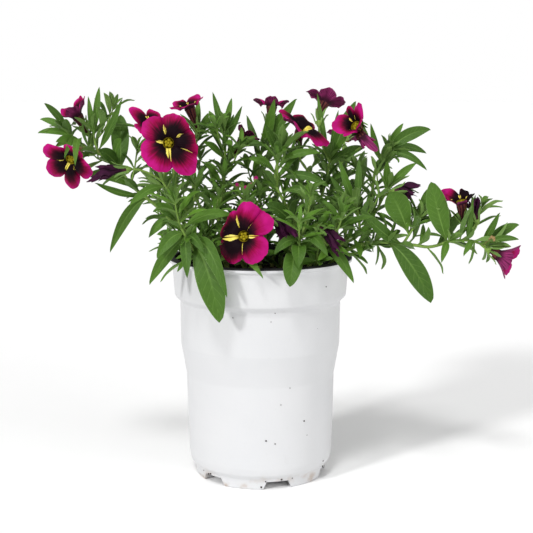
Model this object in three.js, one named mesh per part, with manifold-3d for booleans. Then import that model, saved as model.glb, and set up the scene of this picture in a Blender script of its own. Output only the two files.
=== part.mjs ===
// A calibrachoa in a round nursery pot: pot, potting mix, leafy stems and flowers.
// Millimetres, +Z up. The plant is laid out round the pot's axis (x = y = 0, ground at z = 0),
// and the finished group is shifted so that the middle of its footprint is the origin.

import * as THREE from 'three';
import { mergeVertices } from 'three/addons/utils/BufferGeometryUtils.js';
import Module from 'manifold-3d';

const wasm = await Module();
wasm.setup();

// ---------------------------------------------------------------- driving dimensions

const GAP = 0.3; // between pieces that touch
const SCRAP = 0.04; // edges shorter than this are closed up after a join

const POT_HEIGHT = 130.5;
const LIP_RADIUS = 54;
const LIP_DEPTH = 3;
const COLLAR_TOP_RADIUS = 52;
const COLLAR_FOOT_RADIUS = 50.6;
const COLLAR_FOOT_HEIGHT = 108;
const STEP_HEIGHT = 104.8;
const BODY_TOP_RADIUS = 47.3;
const SHOULDER_HEIGHT = 79;
const WAIST_HEIGHT = 61;
const WAIST_RADIUS = 43.7;
const HEEL_HEIGHT = 13;
const HEEL_RADIUS = 42.6;
const BASE_HEIGHT = 6.3;
const BASE_RADIUS = 39.4;
const FOOT_RADIUS = 38.6;
const WALL = 1.5;
const FLOOR_TOP = BASE_HEIGHT + WALL;
const POT_SIDES = 30;
const FOOT_COUNT = 6;
const FOOT_NOTCH_DEG = 27;
const FIRST_NOTCH_DEG = -75;
const NOTCH_TAPER = 0.72; // its width at the top for its width at the ground
const FOOT_INNER_RADIUS = 31;
const DRAIN_RADIUS = 4;
const DRAIN_CIRCLE = 24;

const SOIL_SIDES = 16;
const SOIL_TOP = 118;
const SOIL_CROWN = 2.5;
const ROOT_DEPTH = 14;

const STEM_SIDES = 4;
const STEM_STEP = 9;
const TIP_INSET = 1.5; // the last leaf stands this far short of its stem's end
const STALK_RADIUS = 0.75;
const STALK_BEND = 0.45; // the share of a stalk that runs in line with its flower
const LEAF_KEEL = 0.75; // thickness of a leaf at its midrib
const LEAF_TROUGH = 0.1; // how far the edges rise above the midrib, per width
// where a leaf is cut along its length, by how long and wide it is together
const LEAF_CUTS = [
  { upTo: 36, cuts: [0.26, 0.68] },
  { upTo: 46, cuts: [0.18, 0.5, 0.8] },
  { upTo: Infinity, cuts: [0.14, 0.36, 0.6, 0.83] },
];

// the leaves that grow along a stem by rule
const GOLDEN_DEG = 137.5; // turn about the stem from one leaf to the next
const CROWDING = 0.34; // how much closer the leaves stand at the stem's tip
// from the smallest to the largest, as shares of the mean
const LENGTH_SPREAD = 0.3;
const WIDTH_SPREAD = 0.3;
const LEAN = { foot: 66, tip: 28, spread: 14 }; // degrees from the stem's direction
const CURL = { least: 8, spread: 34 }; // degrees that a leaf bends away from its face
const LIFT = 0.22; // how far a leaf turns up from its lean
const SKYWARD = 0.5; // how far its face turns up from the stem's direction

// leaves that are laid out one by one
const BLADE_FACE = [0, -0.55, 0.85];
const BOW_WAY = [0, -0.25, 1];
const BLADE_KNEE = 0.45;

// flowers
const TUBE_LENGTH = 13;
const TUBE_BASE_RADIUS = 0.75;
const THROAT_RADIUS = 2.9;
// [radius, height] about the seat of the corolla
const CALYX = { foot: [0, -3.4], floor: [1.05, 0], notch: [2.7, 0.2], sepalTip: [5.6, 8.5] };
const PETAL = 0.8; // thickness of a corolla
const LOBES = 5;
const LOBE_DEPTH = 0.27; // of the limb's reach
const LOBE_ROUNDING = 0.7;
const THROAT_DEPTH = 4.5;
const TUBE_MOUTH = -2.7; // where the tube's outside meets the limb
const LIMB_FOLD = 0.45; // the share of the limb's reach where its ring of facets bends
const LIMB_START_DEG = 25; // slope of the limb from the bloom's axis at the throat
const LIMB_OPENING = 3; // how soon along its reach the limb has opened
const LIMB_RECURVE_DEG = 14;
const WILTED_SAG = 4;
const WILTED_GIRTH = [[0, 0.14], [0.3, 0.42], [0.66, 1], [0.87, 0.8]]; // [share of length, radius]
const PLEAT_DEPTH = 0.38; // of the radius

const CLEAR_OTHER = 2.3; // from a leaf to the leaves, stems and flowers of another piece
const CLEAR_OWN = 1.5;
const CLEAR_POT = 1.4;
const OWN_FOOT = 0.35; // the first part of a leaf may touch what grows beside it

// ---------------------------------------------------------------- the plant's layout

// A place is [x, z, y]: x and z on the front elevation, drawn on the plane of the pot's axis
// as seen from EYE, and y, its depth behind that plane.
const EYE = { x: 3.6, y: -653, z: 224 };

// A stem is its root [x, y] in the potting mix or nothing for a branch, its places, its radius
// at both ends, and its foliage: where leaves start along it, the spacing, the first and last
// leaf length, and how wide they are for their length.
// A blade is base place, tip place, width, and how far its middle bows up (+) or down (-).
const SHOOTS = [
  {
    name: 'stem_left_arch',
    stems: [
      {
        root: [-27, -6],
        places: [
          [-34, 138, -9], [-43, 146, -12], [-51, 150, -14], [-60, 159, -14], [-68.5, 166, -14],
          [-75, 171.5, -14], [-81, 179.5, -13], [-87, 186, -12], [-93.5, 190, -12],
          [-100, 193, -12], [-107, 198, -11], [-112, 203, -10],
        ],
        radius: [1.5, 0.8],
        foliage: { from: 0.18, gap: 8.5, length: [24, 16], ratio: 0.26 },
      },
      {
        places: [[-94, 190.5, -12], [-96, 196, -10], [-97, 203, -8]],
        radius: [0.8, 0.6],
        foliage: { from: 0.3, gap: 4.5, length: [16, 13], ratio: 0.23 },
      },
    ],
    blades: [
      [[-112, 202, -10], [-125, 219.5, -22], 4.5, 0.08],
      [[-111, 201.5, -10], [-128, 210.5, -4], 4, 0.1],
      [[-109, 200, -11], [-129.5, 202.5, -16], 4, 0.1],
      [[-106, 197.5, -11], [-119.5, 194, -22], 4, 0.12],
      [[-97, 200, -8], [-93, 229, -6], 4, 0.04],
      [[-97, 199, -8], [-99.5, 223.5, -10], 3.6, -0.05],
      [[-94.5, 192, -12], [-80, 222, -16], 4.4, -0.06],
      [[-80.5, 181, -13], [-81, 213, -4], 10.5, -0.05],
      [[-86, 185, -12], [-81, 199, -22], 6.5, 0.12],
      [[-76, 172.5, -14], [-101.5, 178, -20], 5.5, 0.12],
      [[-66, 164, -14], [-89, 132, -18], 6.6, 0.17],
      [[-52, 151, -14], [-66, 141, -4], 6, 0.15],
    ],
  },
  {
    name: 'stem_left_rosette',
    stems: [
      {
        root: [-25, -27],
        places: [
          [-31.5, 123, -31], [-39.3, 134, -38], [-44.5, 143, -41], [-49, 151, -39], [-52, 160, -36],
        ],
        radius: [1.3, 0.7],
        foliage: { from: 0.5, gap: 4.5, length: [21, 14], ratio: 0.26 },
      },
    ],
    blades: [
      [[-44.5, 142, -42], [-43.4, 116.9, -54], 6, 0.12],
      [[-45, 143, -41], [-61.5, 128.7, -46], 7, 0.2],
      [[-44, 141, -40], [-66.3, 112.7, -38], 7, 0.12],
      [[-43.5, 142, -42], [-33.3, 131.9, -56], 5, 0.15],
      [[-40, 135, -39], [-24.2, 89.8, -58], 15, 0.22],
      [[-41, 137, -38], [-19.8, 105, -61], 8.5, 0.3],
      [[-46, 146, -40], [-16.5, 154.5, -43], 6, 0.14],
      [[-48, 149.5, -39], [-61.5, 161, -44], 6, 0.12],
    ],
  },
  {
    name: 'stem_left_flower',
    stems: [
      {
        root: [-18, -15],
        places: [
          [-25, 134, -19], [-33, 146, -24], [-42, 156, -27], [-51, 165, -28], [-57, 174, -27],
          [-60.5, 183, -25],
        ],
        radius: [1.4, 0.7],
        foliage: { from: 0.3, gap: 6.5, length: [25, 14], ratio: 0.23 },
      },
    ],
    blades: [
      [[-60.5, 182, -25], [-68.5, 196, -20], 4.6, 0.1],
      [[-55, 171, -27], [-77, 160, -34], 5, 0.14],
    ],
  },
  {
    name: 'stem_centre_left',
    stems: [
      {
        root: [-9, 0],
        places: [
          [-18, 140, 1], [-25, 154, 2], [-22, 166, 2], [-21, 178, 3], [-20.5, 190.5, 3], [-21, 202, 3],
        ],
        radius: [1.4, 0.8],
        foliage: { from: 0.17, gap: 6.1, length: [29, 18], ratio: 0.22 },
      },
    ],
    blades: [
      [[-21, 200, 3], [-27.5, 226, 6], 4, -0.04],
      [[-20.5, 201, 3], [-16.5, 222.5, 8], 3.8, 0.04],
      [[-20.5, 197, 3], [-10.5, 218, -2], 3.6, -0.05],
      [[-20.5, 190, 3], [4, 194.5, -6], 4.6, 0.16],
      [[-20.8, 186, 3], [-33, 197, -8], 4.6, 0.1],
    ],
  },
  {
    name: 'stem_centre_right',
    stems: [
      {
        root: [13, -14],
        places: [
          [18, 133, -19], [22, 143, -22], [17, 155.5, -21], [13.5, 163, -19], [9.5, 171, -18],
          [9, 180.5, -17], [12.5, 192, -16],
        ],
        radius: [1.5, 0.8],
        foliage: { from: 0.36, gap: 5.5, length: [26, 17], ratio: 0.23 },
      },
    ],
    blades: [
      [[12, 190, -16], [2.5, 207, -20], 3.6, -0.06],
      [[12.5, 191, -16], [13, 208, -33], 4.4, 0.05],
      [[12.3, 189, -16], [28, 204, -37], 5, 0.08],
      [[11, 185, -17], [35, 191, -24], 4.6, 0.1],
      [[9.3, 179, -17], [-7, 187.5, -24], 4.2, 0.12],
      [[9.8, 175, -18], [41, 170.5, -26], 5, 0.16],
      [[12, 167, -18], [41, 157.5, -30], 5.2, 0.2],
      [[20, 146, -22], [3, 161, -30], 8, 0.12],
      [[21.5, 142, -22], [33.5, 155.5, -32], 6, 0.1],
    ],
  },
  {
    name: 'stem_front',
    stems: [
      {
        root: [16, -31],
        places: [[18, 124, -35], [21, 132, -40], [23, 139, -42], [26, 147, -40], [28, 156, -36]],
        radius: [1.2, 0.7],
        foliage: { from: 0.55, gap: 4.5, length: [20, 14], ratio: 0.26 },
      },
    ],
    blades: [
      [[22, 136.5, -42], [22.5, 122.9, -58], 8, 0.2],
      [[20.5, 132, -40], [17.5, 111.5, -60], 10.5, 0.22],
      [[23, 138, -42], [8, 131, -56], 5.5, 0.2],
      [[24, 143, -42], [40, 130, -62], 5.5, 0.16],
    ],
  },
  {
    name: 'stem_front_flower',
    stems: [
      {
        root: [-5, -27],
        places: [[-6, 126, -30], [-6, 139, -31], [-8, 152, -28], [-9, 163, -24]],
        radius: [1.2, 0.6],
        foliage: { from: 0.42, gap: 5, length: [22, 15], ratio: 0.23 },
      },
    ],
    blades: [
      [[-6, 127, -30], [1.9, 116.5, -61], 5, 0.22],
      [[-6.2, 134, -31], [-23.5, 127, -50], 6, 0.15],
    ],
  },
  {
    name: 'stem_right_front',
    stems: [
      {
        root: [29, -24],
        places: [[34, 128, -33], [39.5, 136, -39], [44, 146, -40], [46.5, 157, -37]],
        radius: [1.2, 0.7],
        foliage: { from: 0.42, gap: 5, length: [22, 14], ratio: 0.24 },
      },
    ],
    blades: [
      [[39, 134.5, -38.5], [55.5, 113.7, -48], 6, 0.16],
      [[44, 146, -40], [60, 151, -46], 5, 0.14],
    ],
  },
  {
    name: 'stem_right_mid',
    stems: [
      {
        root: [26, -9],
        places: [[36, 132, -13], [48, 137, -16], [57.5, 142.5, -17], [58, 151, -15], [56.5, 160, -14]],
        radius: [1.3, 0.8],
        foliage: { from: 0.4, gap: 5, length: [23, 17], ratio: 0.23 },
      },
    ],
    blades: [
      [[56.5, 158, -14], [46, 187, -18], 4.4, -0.06],
      [[56.7, 156, -14], [40.5, 178, -24], 4.2, -0.06],
      [[57, 153, -15], [37.5, 164, -26], 4.4, 0.12],
      [[56.5, 160, -14], [57.5, 187.5, -12], 4, 0.03],
    ],
  },
  {
    name: 'stem_right_tall',
    stems: [
      {
        root: [23, 4],
        places: [
          [36, 132, 6], [50, 140, 6], [62, 148, 4], [65, 163, 3], [67, 180, 2], [71.5, 189, 1],
          [74, 192, 0],
        ],
        radius: [1.5, 0.8],
        foliage: { from: 0.3, gap: 6.5, length: [26, 17], ratio: 0.23 },
      },
      {
        places: [[63, 151, 4], [68, 157, -3], [71, 163, -6], [74, 169.5, -7]],
        radius: [1, 0.7],
        foliage: { from: 0.4, gap: 5, length: [18, 14], ratio: 0.23 },
      },
    ],
    blades: [
      [[74, 191, 0], [99, 204.5, -6], 7.5, 0.12],
      [[73.5, 190.5, 0], [97, 190.5, 6], 5, 0.14],
      [[72, 188.5, 1], [97.5, 180.5, -8], 4.4, 0.18],
      [[70, 186, 1], [64, 208, -8], 4, -0.05],
      [[72, 189, 1], [83, 208, 6], 4.2, 0.05],
      [[73.5, 168.5, -7], [91, 185, -12], 4.6, 0.08],
      [[74, 169, -7], [74, 186, -16], 4.2, 0.05],
    ],
  },
  {
    name: 'stem_right_trail',
    stems: [
      {
        root: [36, -13],
        places: [
          [50, 133, -18], [67, 138.5, -22], [81, 137.5, -22], [91.5, 136.5, -21], [99, 135.5, -20],
          [106.5, 137, -20], [112, 139, -20], [118.5, 139.5, -19], [125.5, 139, -18], [133, 136, -17],
        ],
        radius: [1.5, 0.8],
        foliage: { from: 0.3, gap: 7.5, length: [22, 14], ratio: 0.26 },
      },
      {
        places: [[84, 137.2, -22], [88, 143.5, -19], [94, 153, -17]],
        radius: [0.9, 0.6],
        foliage: { from: 0.4, gap: 4.5, length: [15, 12], ratio: 0.28 },
      },
    ],
    blades: [
      [[110, 138.5, -20], [100, 174, -24], 12, -0.06],
      [[122, 139.2, -18.5], [126, 166.5, -12], 5, -0.16],
      [[133, 136, -17], [152.5, 149, -14], 6, 0.1],
      [[132, 136.3, -17], [152.5, 140, -26], 4, 0.1],
      [[130, 137, -17], [140.5, 156, -22], 4.2, -0.06],
      [[126, 138.8, -18], [120, 130, -30], 4, 0.16],
      [[111, 138.6, -20], [107, 126, -31], 4.4, 0.16],
      [[74, 138, -22], [102, 102, -34], 12, 0.14],
      [[84, 137.3, -22], [58.5, 158.5, -34], 7, -0.08],
      [[87, 143, -19.5], [76, 168, -26], 14, 0.06],
      [[94, 152, -17], [98, 170, -14], 4.4, 0.05],
    ],
  },
  {
    name: 'stem_top_left',
    stems: [
      {
        root: [-20, 12],
        places: [[-30, 144, 16], [-36, 160, 20], [-40, 176, 20], [-39.5, 190, 17], [-36, 200, 14]],
        radius: [1.4, 0.7],
        foliage: { from: 0.22, gap: 6, length: [29, 17], ratio: 0.22 },
      },
    ],
    blades: [
      [[-36.5, 198, 15], [-35.8, 222, 24], 4, 0.04],
      [[-39.8, 184, 18], [-58, 202, 26], 5, -0.08],
    ],
  },
  {
    name: 'stem_top_centre',
    stems: [
      {
        root: [0, 17],
        places: [[3, 146, 20], [0, 162, 22], [-2, 178, 22], [1, 192, 20]],
        radius: [1.4, 0.7],
        foliage: { from: 0.2, gap: 6, length: [29, 17], ratio: 0.22 },
      },
    ],
    blades: [
      [[0.5, 190, 20], [-8, 213, 36], 4.4, -0.05],
      [[1, 191, 20], [18, 209, 30], 4, 0.06],
    ],
  },
  {
    name: 'stem_top_right',
    stems: [
      {
        root: [12, 5],
        places: [[24, 145, 6], [33, 159, 6], [38, 173, 5], [40.5, 187, 5]],
        radius: [1.4, 0.7],
        foliage: { from: 0.2, gap: 6, length: [26, 16], ratio: 0.22 },
      },
    ],
    blades: [
      [[40.5, 186, 5], [50, 200, -6], 4, 0.06],
      [[39.8, 182, 5], [52, 186, -14], 4.4, 0.1],
      [[37, 170, 5], [49, 179, -8], 4.2, 0.08],
    ],
  },
  {
    name: 'stem_back_left',
    stems: [
      {
        root: [-27, 22],
        places: [[-39, 143, 32], [-49, 155, 43], [-56, 165, 52], [-61, 172, 60]],
        radius: [1.4, 0.7],
        foliage: { from: 0.25, gap: 6.5, length: [26, 16], ratio: 0.26 },
      },
    ],
    blades: [],
  },
  {
    name: 'stem_back',
    stems: [
      {
        root: [-6, 33],
        places: [[-10, 140, 44], [-13, 147, 57], [-15, 148, 70], [-15, 146, 82], [-13, 146, 91]],
        radius: [1.4, 0.7],
        foliage: { from: 0.25, gap: 7, length: [25, 15], ratio: 0.26 },
      },
    ],
    blades: [],
  },
  {
    name: 'stem_back_right',
    stems: [
      {
        root: [22, 24],
        places: [[31, 143, 34], [41, 156, 42], [47, 172, 50], [49, 184, 56]],
        radius: [1.4, 0.7],
        foliage: { from: 0.25, gap: 6.5, length: [25, 15], ratio: 0.26 },
      },
    ],
    blades: [],
  },
  {
    name: 'stem_back_upright',
    stems: [
      {
        root: [7, 30],
        places: [[14, 146, 34], [19, 162, 38], [20, 176, 40], [18, 187, 40]],
        radius: [1.4, 0.7],
        foliage: { from: 0.2, gap: 6.5, length: [29, 17], ratio: 0.23 },
      },
    ],
    blades: [],
  },
];

// A bloom: the shoot that carries it, where its stalk leaves the stem, the middle of its face,
// the way it faces (x, y, z), its width across the lobes, how far the limb opens (90 is flat,
// less is cupped, more is bent back) and its turn about its own axis.
const BLOOMS = [
  ['bloom_left_large', 'stem_left_flower', [-51, 165, -28], [-53.5, 196.5, -44],
    [-0.06, -1, 0.1], 35, 88, 12],
  ['bloom_left_behind', 'stem_left_flower', [-57, 174, -27], [-63, 206, -21],
    [-0.4, 0.2, 0.9], 28, 78, 40],
  ['bloom_left_tip', 'stem_left_arch', [-100, 193, -12], [-108, 213, -5],
    [-0.55, -0.2, 0.8], 24, 52, 0],
  ['bloom_left_low', 'stem_left_arch', [-93.5, 190, -12], [-113, 184.5, -27],
    [-0.25, -0.85, -0.45], 30, 84, 20],
  ['bloom_top_left', 'stem_top_left', [-36, 200, 14], [-41, 217, 5],
    [-0.3, -0.25, 0.92], 24, 62, 0],
  ['bloom_top_centre', 'stem_top_centre', [1, 192, 20], [6, 219, 24],
    [0.05, -0.12, 1], 24, 72, 30],
  ['bloom_top_facing', 'stem_top_right', [38, 173, 5], [26, 205, -14],
    [0.22, -0.52, 0.83], 35, 86, 10],
  ['bloom_top_right', 'stem_top_right', [40.5, 187, 5], [35, 219, 18],
    [0.1, 0.55, 0.83], 24, 70, 20],
  ['bloom_right_oblique', 'stem_top_right', [40.5, 187, 5], [53, 207.5, -12],
    [-0.62, -0.62, 0.48], 30, 86, 60],
  ['bloom_right_drooping', 'stem_top_right', [40.5, 187, 5], [62.5, 200, 7],
    [0.62, -0.25, -0.74], 26, 24, 0],
  ['bloom_hidden', 'stem_centre_left', [-20.5, 190.5, 3], [-9, 200, 16],
    [0.55, 0.2, 0.8], 20, 60, 0],
  ['bloom_front', 'stem_front_flower', [-6, 139, -31], [-10.5, 141, -55],
    [-0.25, -0.97, 0.08], 33, 88, 36],
  ['bloom_right_half', 'stem_right_trail', [112, 139, -20], [115.5, 163, -26],
    [-0.3, -0.35, 0.9], 22, 58, 0],
  ['bloom_right_tip', 'stem_right_trail', [129.5, 137.8, -17.4], [148, 127, -24],
    [0.85, -0.35, -0.4], 19, 58, 36],
  ['bloom_back_left', 'stem_back_left', [-56, 165, 52], [-54, 197, 56],
    [-0.3, 0.8, 0.5], 32, 86, 15],
  ['bloom_back', 'stem_back', [-15, 148, 70], [-4, 145, 92],
    [0.5, 0.8, 0.3], 33, 88, 50],
  ['bloom_back_right', 'stem_back_right', [47, 172, 50], [52, 206, 60],
    [0.25, 0.8, 0.5], 31, 86, 30],
];

// A wilted bloom: the shoot that carries it, where its stalk leaves the stem, its base and tip
// places and its greatest radius.
const WILTED = [
  ['wilted_left', 'stem_left_flower', [-57, 174, -27], [-78, 181, -33], [-95, 178.5, -36], 4.4],
  ['wilted_front', 'stem_front_flower', [-8, 152, -28], [7, 152, -40], [17, 142, -46], 5],
  ['wilted_front_right', 'stem_right_front', [39.5, 136, -39], [34.5, 147, -47], [46, 137, -52], 4.2],
  ['wilted_right', 'stem_right_tall', [71, 163, -6], [78.5, 168, -14], [90, 168.5, -17], 5],
  ['wilted_right_trail', 'stem_right_trail', [118.5, 139.5, -19], [127, 152, -22], [124, 163, -24], 4.3],
];

const SPREAD_SEED = 20;

// ---------------------------------------------------------------- numbers and places

/** Seeded random numbers from 0 to 1, the same on every run. */
function randomFrom(seed) {
  let state = seed >>> 0;
  return () => {
    state = (state + 0x6d2b79f5) >>> 0;
    let t = Math.imul(state ^ (state >>> 15), state | 1);
    t = (t + Math.imul(t ^ (t >>> 7), t | 61)) ^ t;
    return ((t ^ (t >>> 14)) >>> 0) / 4294967296;
  };
}

const vec = (x, y, z) => new THREE.Vector3(x, y, z);
const mix = (a, b, t) => a.clone().lerp(b, t);
const rad = THREE.MathUtils.degToRad;

/** The point on a circle about `centre`, in the plane of the directions `a` and `b`. */
const around = (centre, a, b, radius, turn) => centre.clone()
  .addScaledVector(a, radius * Math.cos(turn))
  .addScaledVector(b, radius * Math.sin(turn));

/** The point that a place names. */
function at([x, z, y]) {
  const k = 1 - y / EYE.y;
  return vec(EYE.x + (x - EYE.x) * k, y, EYE.z + (z - EYE.z) * k);
}

/** A smooth line through points, by Catmull-Rom spans cut into steps of about `step`. */
function smoothLine(points, step) {
  const line = [points[0]];
  for (let i = 0; i + 1 < points.length; i += 1) {
    const [b, c] = [points[i], points[i + 1]];
    const a = points[i - 1] ?? b.clone().multiplyScalar(2).sub(c);
    const d = points[i + 2] ?? c.clone().multiplyScalar(2).sub(b);
    const cuts = Math.max(1, Math.round(b.distanceTo(c) / step));
    for (let j = 1; j <= cuts; j += 1) {
      const t = j / cuts;
      const p = vec(0, 0, 0);
      p.addScaledVector(a, -0.5 * t + t * t - 0.5 * t * t * t);
      p.addScaledVector(b, 1 - 2.5 * t * t + 1.5 * t * t * t);
      p.addScaledVector(c, 0.5 * t + 2 * t * t - 1.5 * t * t * t);
      p.addScaledVector(d, -0.5 * t * t + 0.5 * t * t * t);
      line.push(p);
    }
  }
  return line;
}

/** A stem's line: straight up out of its hole, then through its places. */
function stemLine(stem) {
  const line = smoothLine(
    [...(stem.root ? [vec(...stem.root, SOIL_TOP + SOIL_CROWN + 2)] : []), ...stem.places.map(at)],
    STEM_STEP,
  );
  return stem.root ? [vec(...stem.root, SOIL_TOP - ROOT_DEPTH), ...line] : line;
}

/** The point and direction at a distance along a line. */
function alongLine(line, distance) {
  let left = distance;
  for (let i = 0; i + 1 < line.length; i += 1) {
    const span = line[i].distanceTo(line[i + 1]);
    if (left <= span || i + 2 === line.length) {
      const way = line[i + 1].clone().sub(line[i]).normalize();
      return { point: mix(line[i], line[i + 1], Math.min(1, left / span)), way };
    }
    left -= span;
  }
  throw new Error('a line needs two points');
}

/** The point of any of the stems, short of its very end, that lies nearest to `point`. */
function nearestOn(lines, point) {
  let best = null;
  lines.forEach((line) => {
    const total = lineLength(line) - TIP_INSET;
    for (let distance = 0; distance < total; distance += 0.5) {
      const foot = alongLine(line, distance).point;
      if (!best || foot.distanceTo(point) < best.distanceTo(point)) best = foot;
    }
  });
  return best;
}

const lineLength = (line) => line.slice(1).reduce((sum, p, i) => sum + p.distanceTo(line[i]), 0);

/** Two directions square to `way` and to each other. */
function squareTo(way) {
  const side = vec(0.2, 0.95, 0.25).cross(way).normalize();
  return [side, way.clone().cross(side)];
}

// ---------------------------------------------------------------- solids

/** Triangles between two rings, where one has as many points as the other, or a multiple. */
function stitch(faces, lower, upper) {
  const [n, m] = [lower.length, upper.length];
  if (m < n) {
    const turned = [];
    stitch(turned, upper, lower);
    turned.forEach(([a, b, c]) => faces.push([a, c, b]));
    return;
  }
  const share = m / n;
  for (let i = 0; i < n; i += 1) {
    for (let j = 0; j < share; j += 1) {
      faces.push([lower[i], upper[(i * share + j + 1) % m], upper[(i * share + j) % m]]);
    }
    if (n > 1) faces.push([lower[i], lower[(i + 1) % n], upper[((i + 1) * share) % m]]);
  }
}

/** A closed solid skinned over rings of points; the first and last ring may be one point. */
function skin(rings) {
  const points = [];
  const indices = rings.map((ring) => ring.map((p) => points.push(p) - 1));
  const faces = [];
  for (let i = 0; i + 1 < indices.length; i += 1) stitch(faces, indices[i], indices[i + 1]);
  for (const [ring, isLast] of [[indices[0], false], [indices.at(-1), true]]) {
    for (let i = 1; i + 1 < ring.length; i += 1) {
      faces.push(isLast ? [ring[0], ring[i], ring[i + 1]] : [ring[0], ring[i + 1], ring[i]]);
    }
  }
  const volume = faces.reduce(
    (sum, [a, b, c]) => sum + points[a].dot(points[b].clone().cross(points[c])), 0,
  );
  const wound = volume < 0 ? faces.map(([a, b, c]) => [a, c, b]) : faces;
  const geometry = new THREE.BufferGeometry();
  const coordinates = points.flatMap((p) => p.toArray());
  geometry.setAttribute('position', new THREE.Float32BufferAttribute(coordinates, 3));
  geometry.setIndex(wound.flat());
  return geometry;
}

function toManifold(geometry) {
  const bare = geometry.clone();
  bare.deleteAttribute('normal');
  bare.deleteAttribute('uv');
  const merged = mergeVertices(bare, 1e-4);
  return new wasm.Manifold(new wasm.Mesh({
    numProp: 3,
    vertProperties: new Float32Array(merged.attributes.position.array),
    triVerts: new Uint32Array(merged.index.array),
  }));
}

function fromManifold(solid) {
  const mesh = solid.getMesh();
  const geometry = new THREE.BufferGeometry();
  geometry.setAttribute('position', new THREE.BufferAttribute(mesh.vertProperties, 3));
  geometry.setIndex(new THREE.BufferAttribute(mesh.triVerts, 1));
  return geometry;
}

/** One solid out of many: a hollow sealed by the join is filled and a loose scrap is dropped. */
function fuse(geometries) {
  const whole = geometries.map(toManifold).reduce((sum, solid) => sum.add(solid)).simplify(SCRAP);
  const [body, ...loose] = whole.decompose().sort((a, b) => b.volume() - a.volume());
  if (loose.some((piece) => piece.volume() > 1)) throw new Error('a leaf is loose');
  return fromManifold(body);
}

/** A round bar along a line, its radius running from `first` to `last`. */
function bar(line, first, last, sides = STEM_SIDES) {
  return skin(line.map((p, i) => {
    const way = (line[i + 1] ?? p).clone().sub(line[i - 1] ?? p).normalize();
    const [a, b] = squareTo(way);
    const radius = THREE.MathUtils.lerp(first, last, i / (line.length - 1));
    return Array.from({ length: sides }, (_, j) => around(p, a, b, radius, (2 * Math.PI * j) / sides));
  }));
}

// ---------------------------------------------------------------- leaves

// A leaf is a quadratic curve from base over knee to tip, its width, and the way it faces.

/** Half a leaf's width as a share of its full half-width, u from base to tip. */
const leafOutline = (u) => Math.sin(Math.PI * u ** 1.1) ** 0.8;

function leafAt(leaf, u) {
  const centre = mix(mix(leaf.base, leaf.knee, u), mix(leaf.knee, leaf.tip, u), u);
  const way = mix(leaf.knee.clone().sub(leaf.base), leaf.tip.clone().sub(leaf.knee), u).normalize();
  const side = way.clone().cross(leaf.face).normalize();
  return { centre, side, up: side.clone().cross(way) };
}

/** A leaf from the nearest point of a stem to a tip, its middle bowed by `bow` of its length. */
function blade(lines, [basePlace, tipPlace, width, bow]) {
  const [base, tip] = [nearestOn(lines, at(basePlace)), at(tipPlace)];
  const way = tip.clone().sub(base);
  const face = vec(...BLADE_FACE);
  face.addScaledVector(way, -face.dot(way) / way.lengthSq()).normalize();
  const knee = mix(base, tip, BLADE_KNEE).addScaledVector(vec(...BOW_WAY), 2 * bow * way.length());
  return { base, knee, tip, width, face };
}

/** A leaf of the rule: it leaves the stem at `lean` degrees, turned by `turn` about the stem. */
function sprout(point, way, turn, lean, length, width, curl) {
  const [a, b] = squareTo(way);
  const out = a.multiplyScalar(Math.cos(rad(turn))).addScaledVector(b, Math.sin(rad(turn)));
  const aim = way.clone().multiplyScalar(Math.cos(rad(lean))).addScaledVector(out, Math.sin(rad(lean)));
  aim.add(vec(0, 0, LIFT)).normalize();
  const face = way.clone().add(vec(0, 0, SKYWARD));
  face.addScaledVector(aim, -face.dot(aim)).normalize();
  const knee = point.clone().addScaledVector(aim, length * 0.5);
  const end = aim.clone().multiplyScalar(Math.cos(rad(curl))).addScaledVector(face, -Math.sin(rad(curl)));
  return { base: point, knee, tip: knee.clone().addScaledVector(end, length * 0.5), width, face };
}

function leafSolid(leaf) {
  const length = leaf.base.distanceTo(leaf.tip);
  const cuts = LEAF_CUTS.find(({ upTo }) => length + leaf.width < upTo).cuts;
  const rings = cuts.map((u) => {
    const { centre, side, up } = leafAt(leaf, u);
    const half = (leaf.width / 2) * leafOutline(u);
    const rise = 2 * half * LEAF_TROUGH;
    return [
      centre.clone().addScaledVector(side, -half).addScaledVector(up, rise),
      centre.clone().addScaledVector(side, half).addScaledVector(up, rise),
      centre.clone().addScaledVector(up, -LEAF_KEEL),
    ];
  });
  return skin([[leaf.base], ...rings, [leaf.tip]]);
}

/** Points spread over a leaf, to keep others clear of it. */
function leafSamples(leaf) {
  const count = Math.max(6, Math.round(leaf.base.distanceTo(leaf.tip) / 2));
  const samples = [];
  for (let i = 1; i <= count; i += 1) {
    const u = 0.12 + (0.88 * i) / count;
    const { centre, side } = leafAt(leaf, u);
    const half = (leaf.width / 2) * leafOutline(Math.min(u, 0.999));
    const across = half > 2.2 ? [-1, -0.5, 0, 0.5, 1] : [-1, 0, 1];
    across.forEach((s) => samples.push({ p: centre.clone().addScaledVector(side, s * half), u }));
  }
  return samples;
}

// ---------------------------------------------------------------- what is already there

const CELL = 3;
const crowd = new Map();
const cellKey = (x, y, z) => (x + 200) * 1000000 + (y + 200) * 1000 + z + 200;

function occupy(owner, points) {
  points.forEach((p) => {
    const key = cellKey(Math.floor(p.x / CELL), Math.floor(p.y / CELL), Math.floor(p.z / CELL));
    if (!crowd.has(key)) crowd.set(key, []);
    crowd.get(key).push({ p, owner });
  });
}

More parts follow.
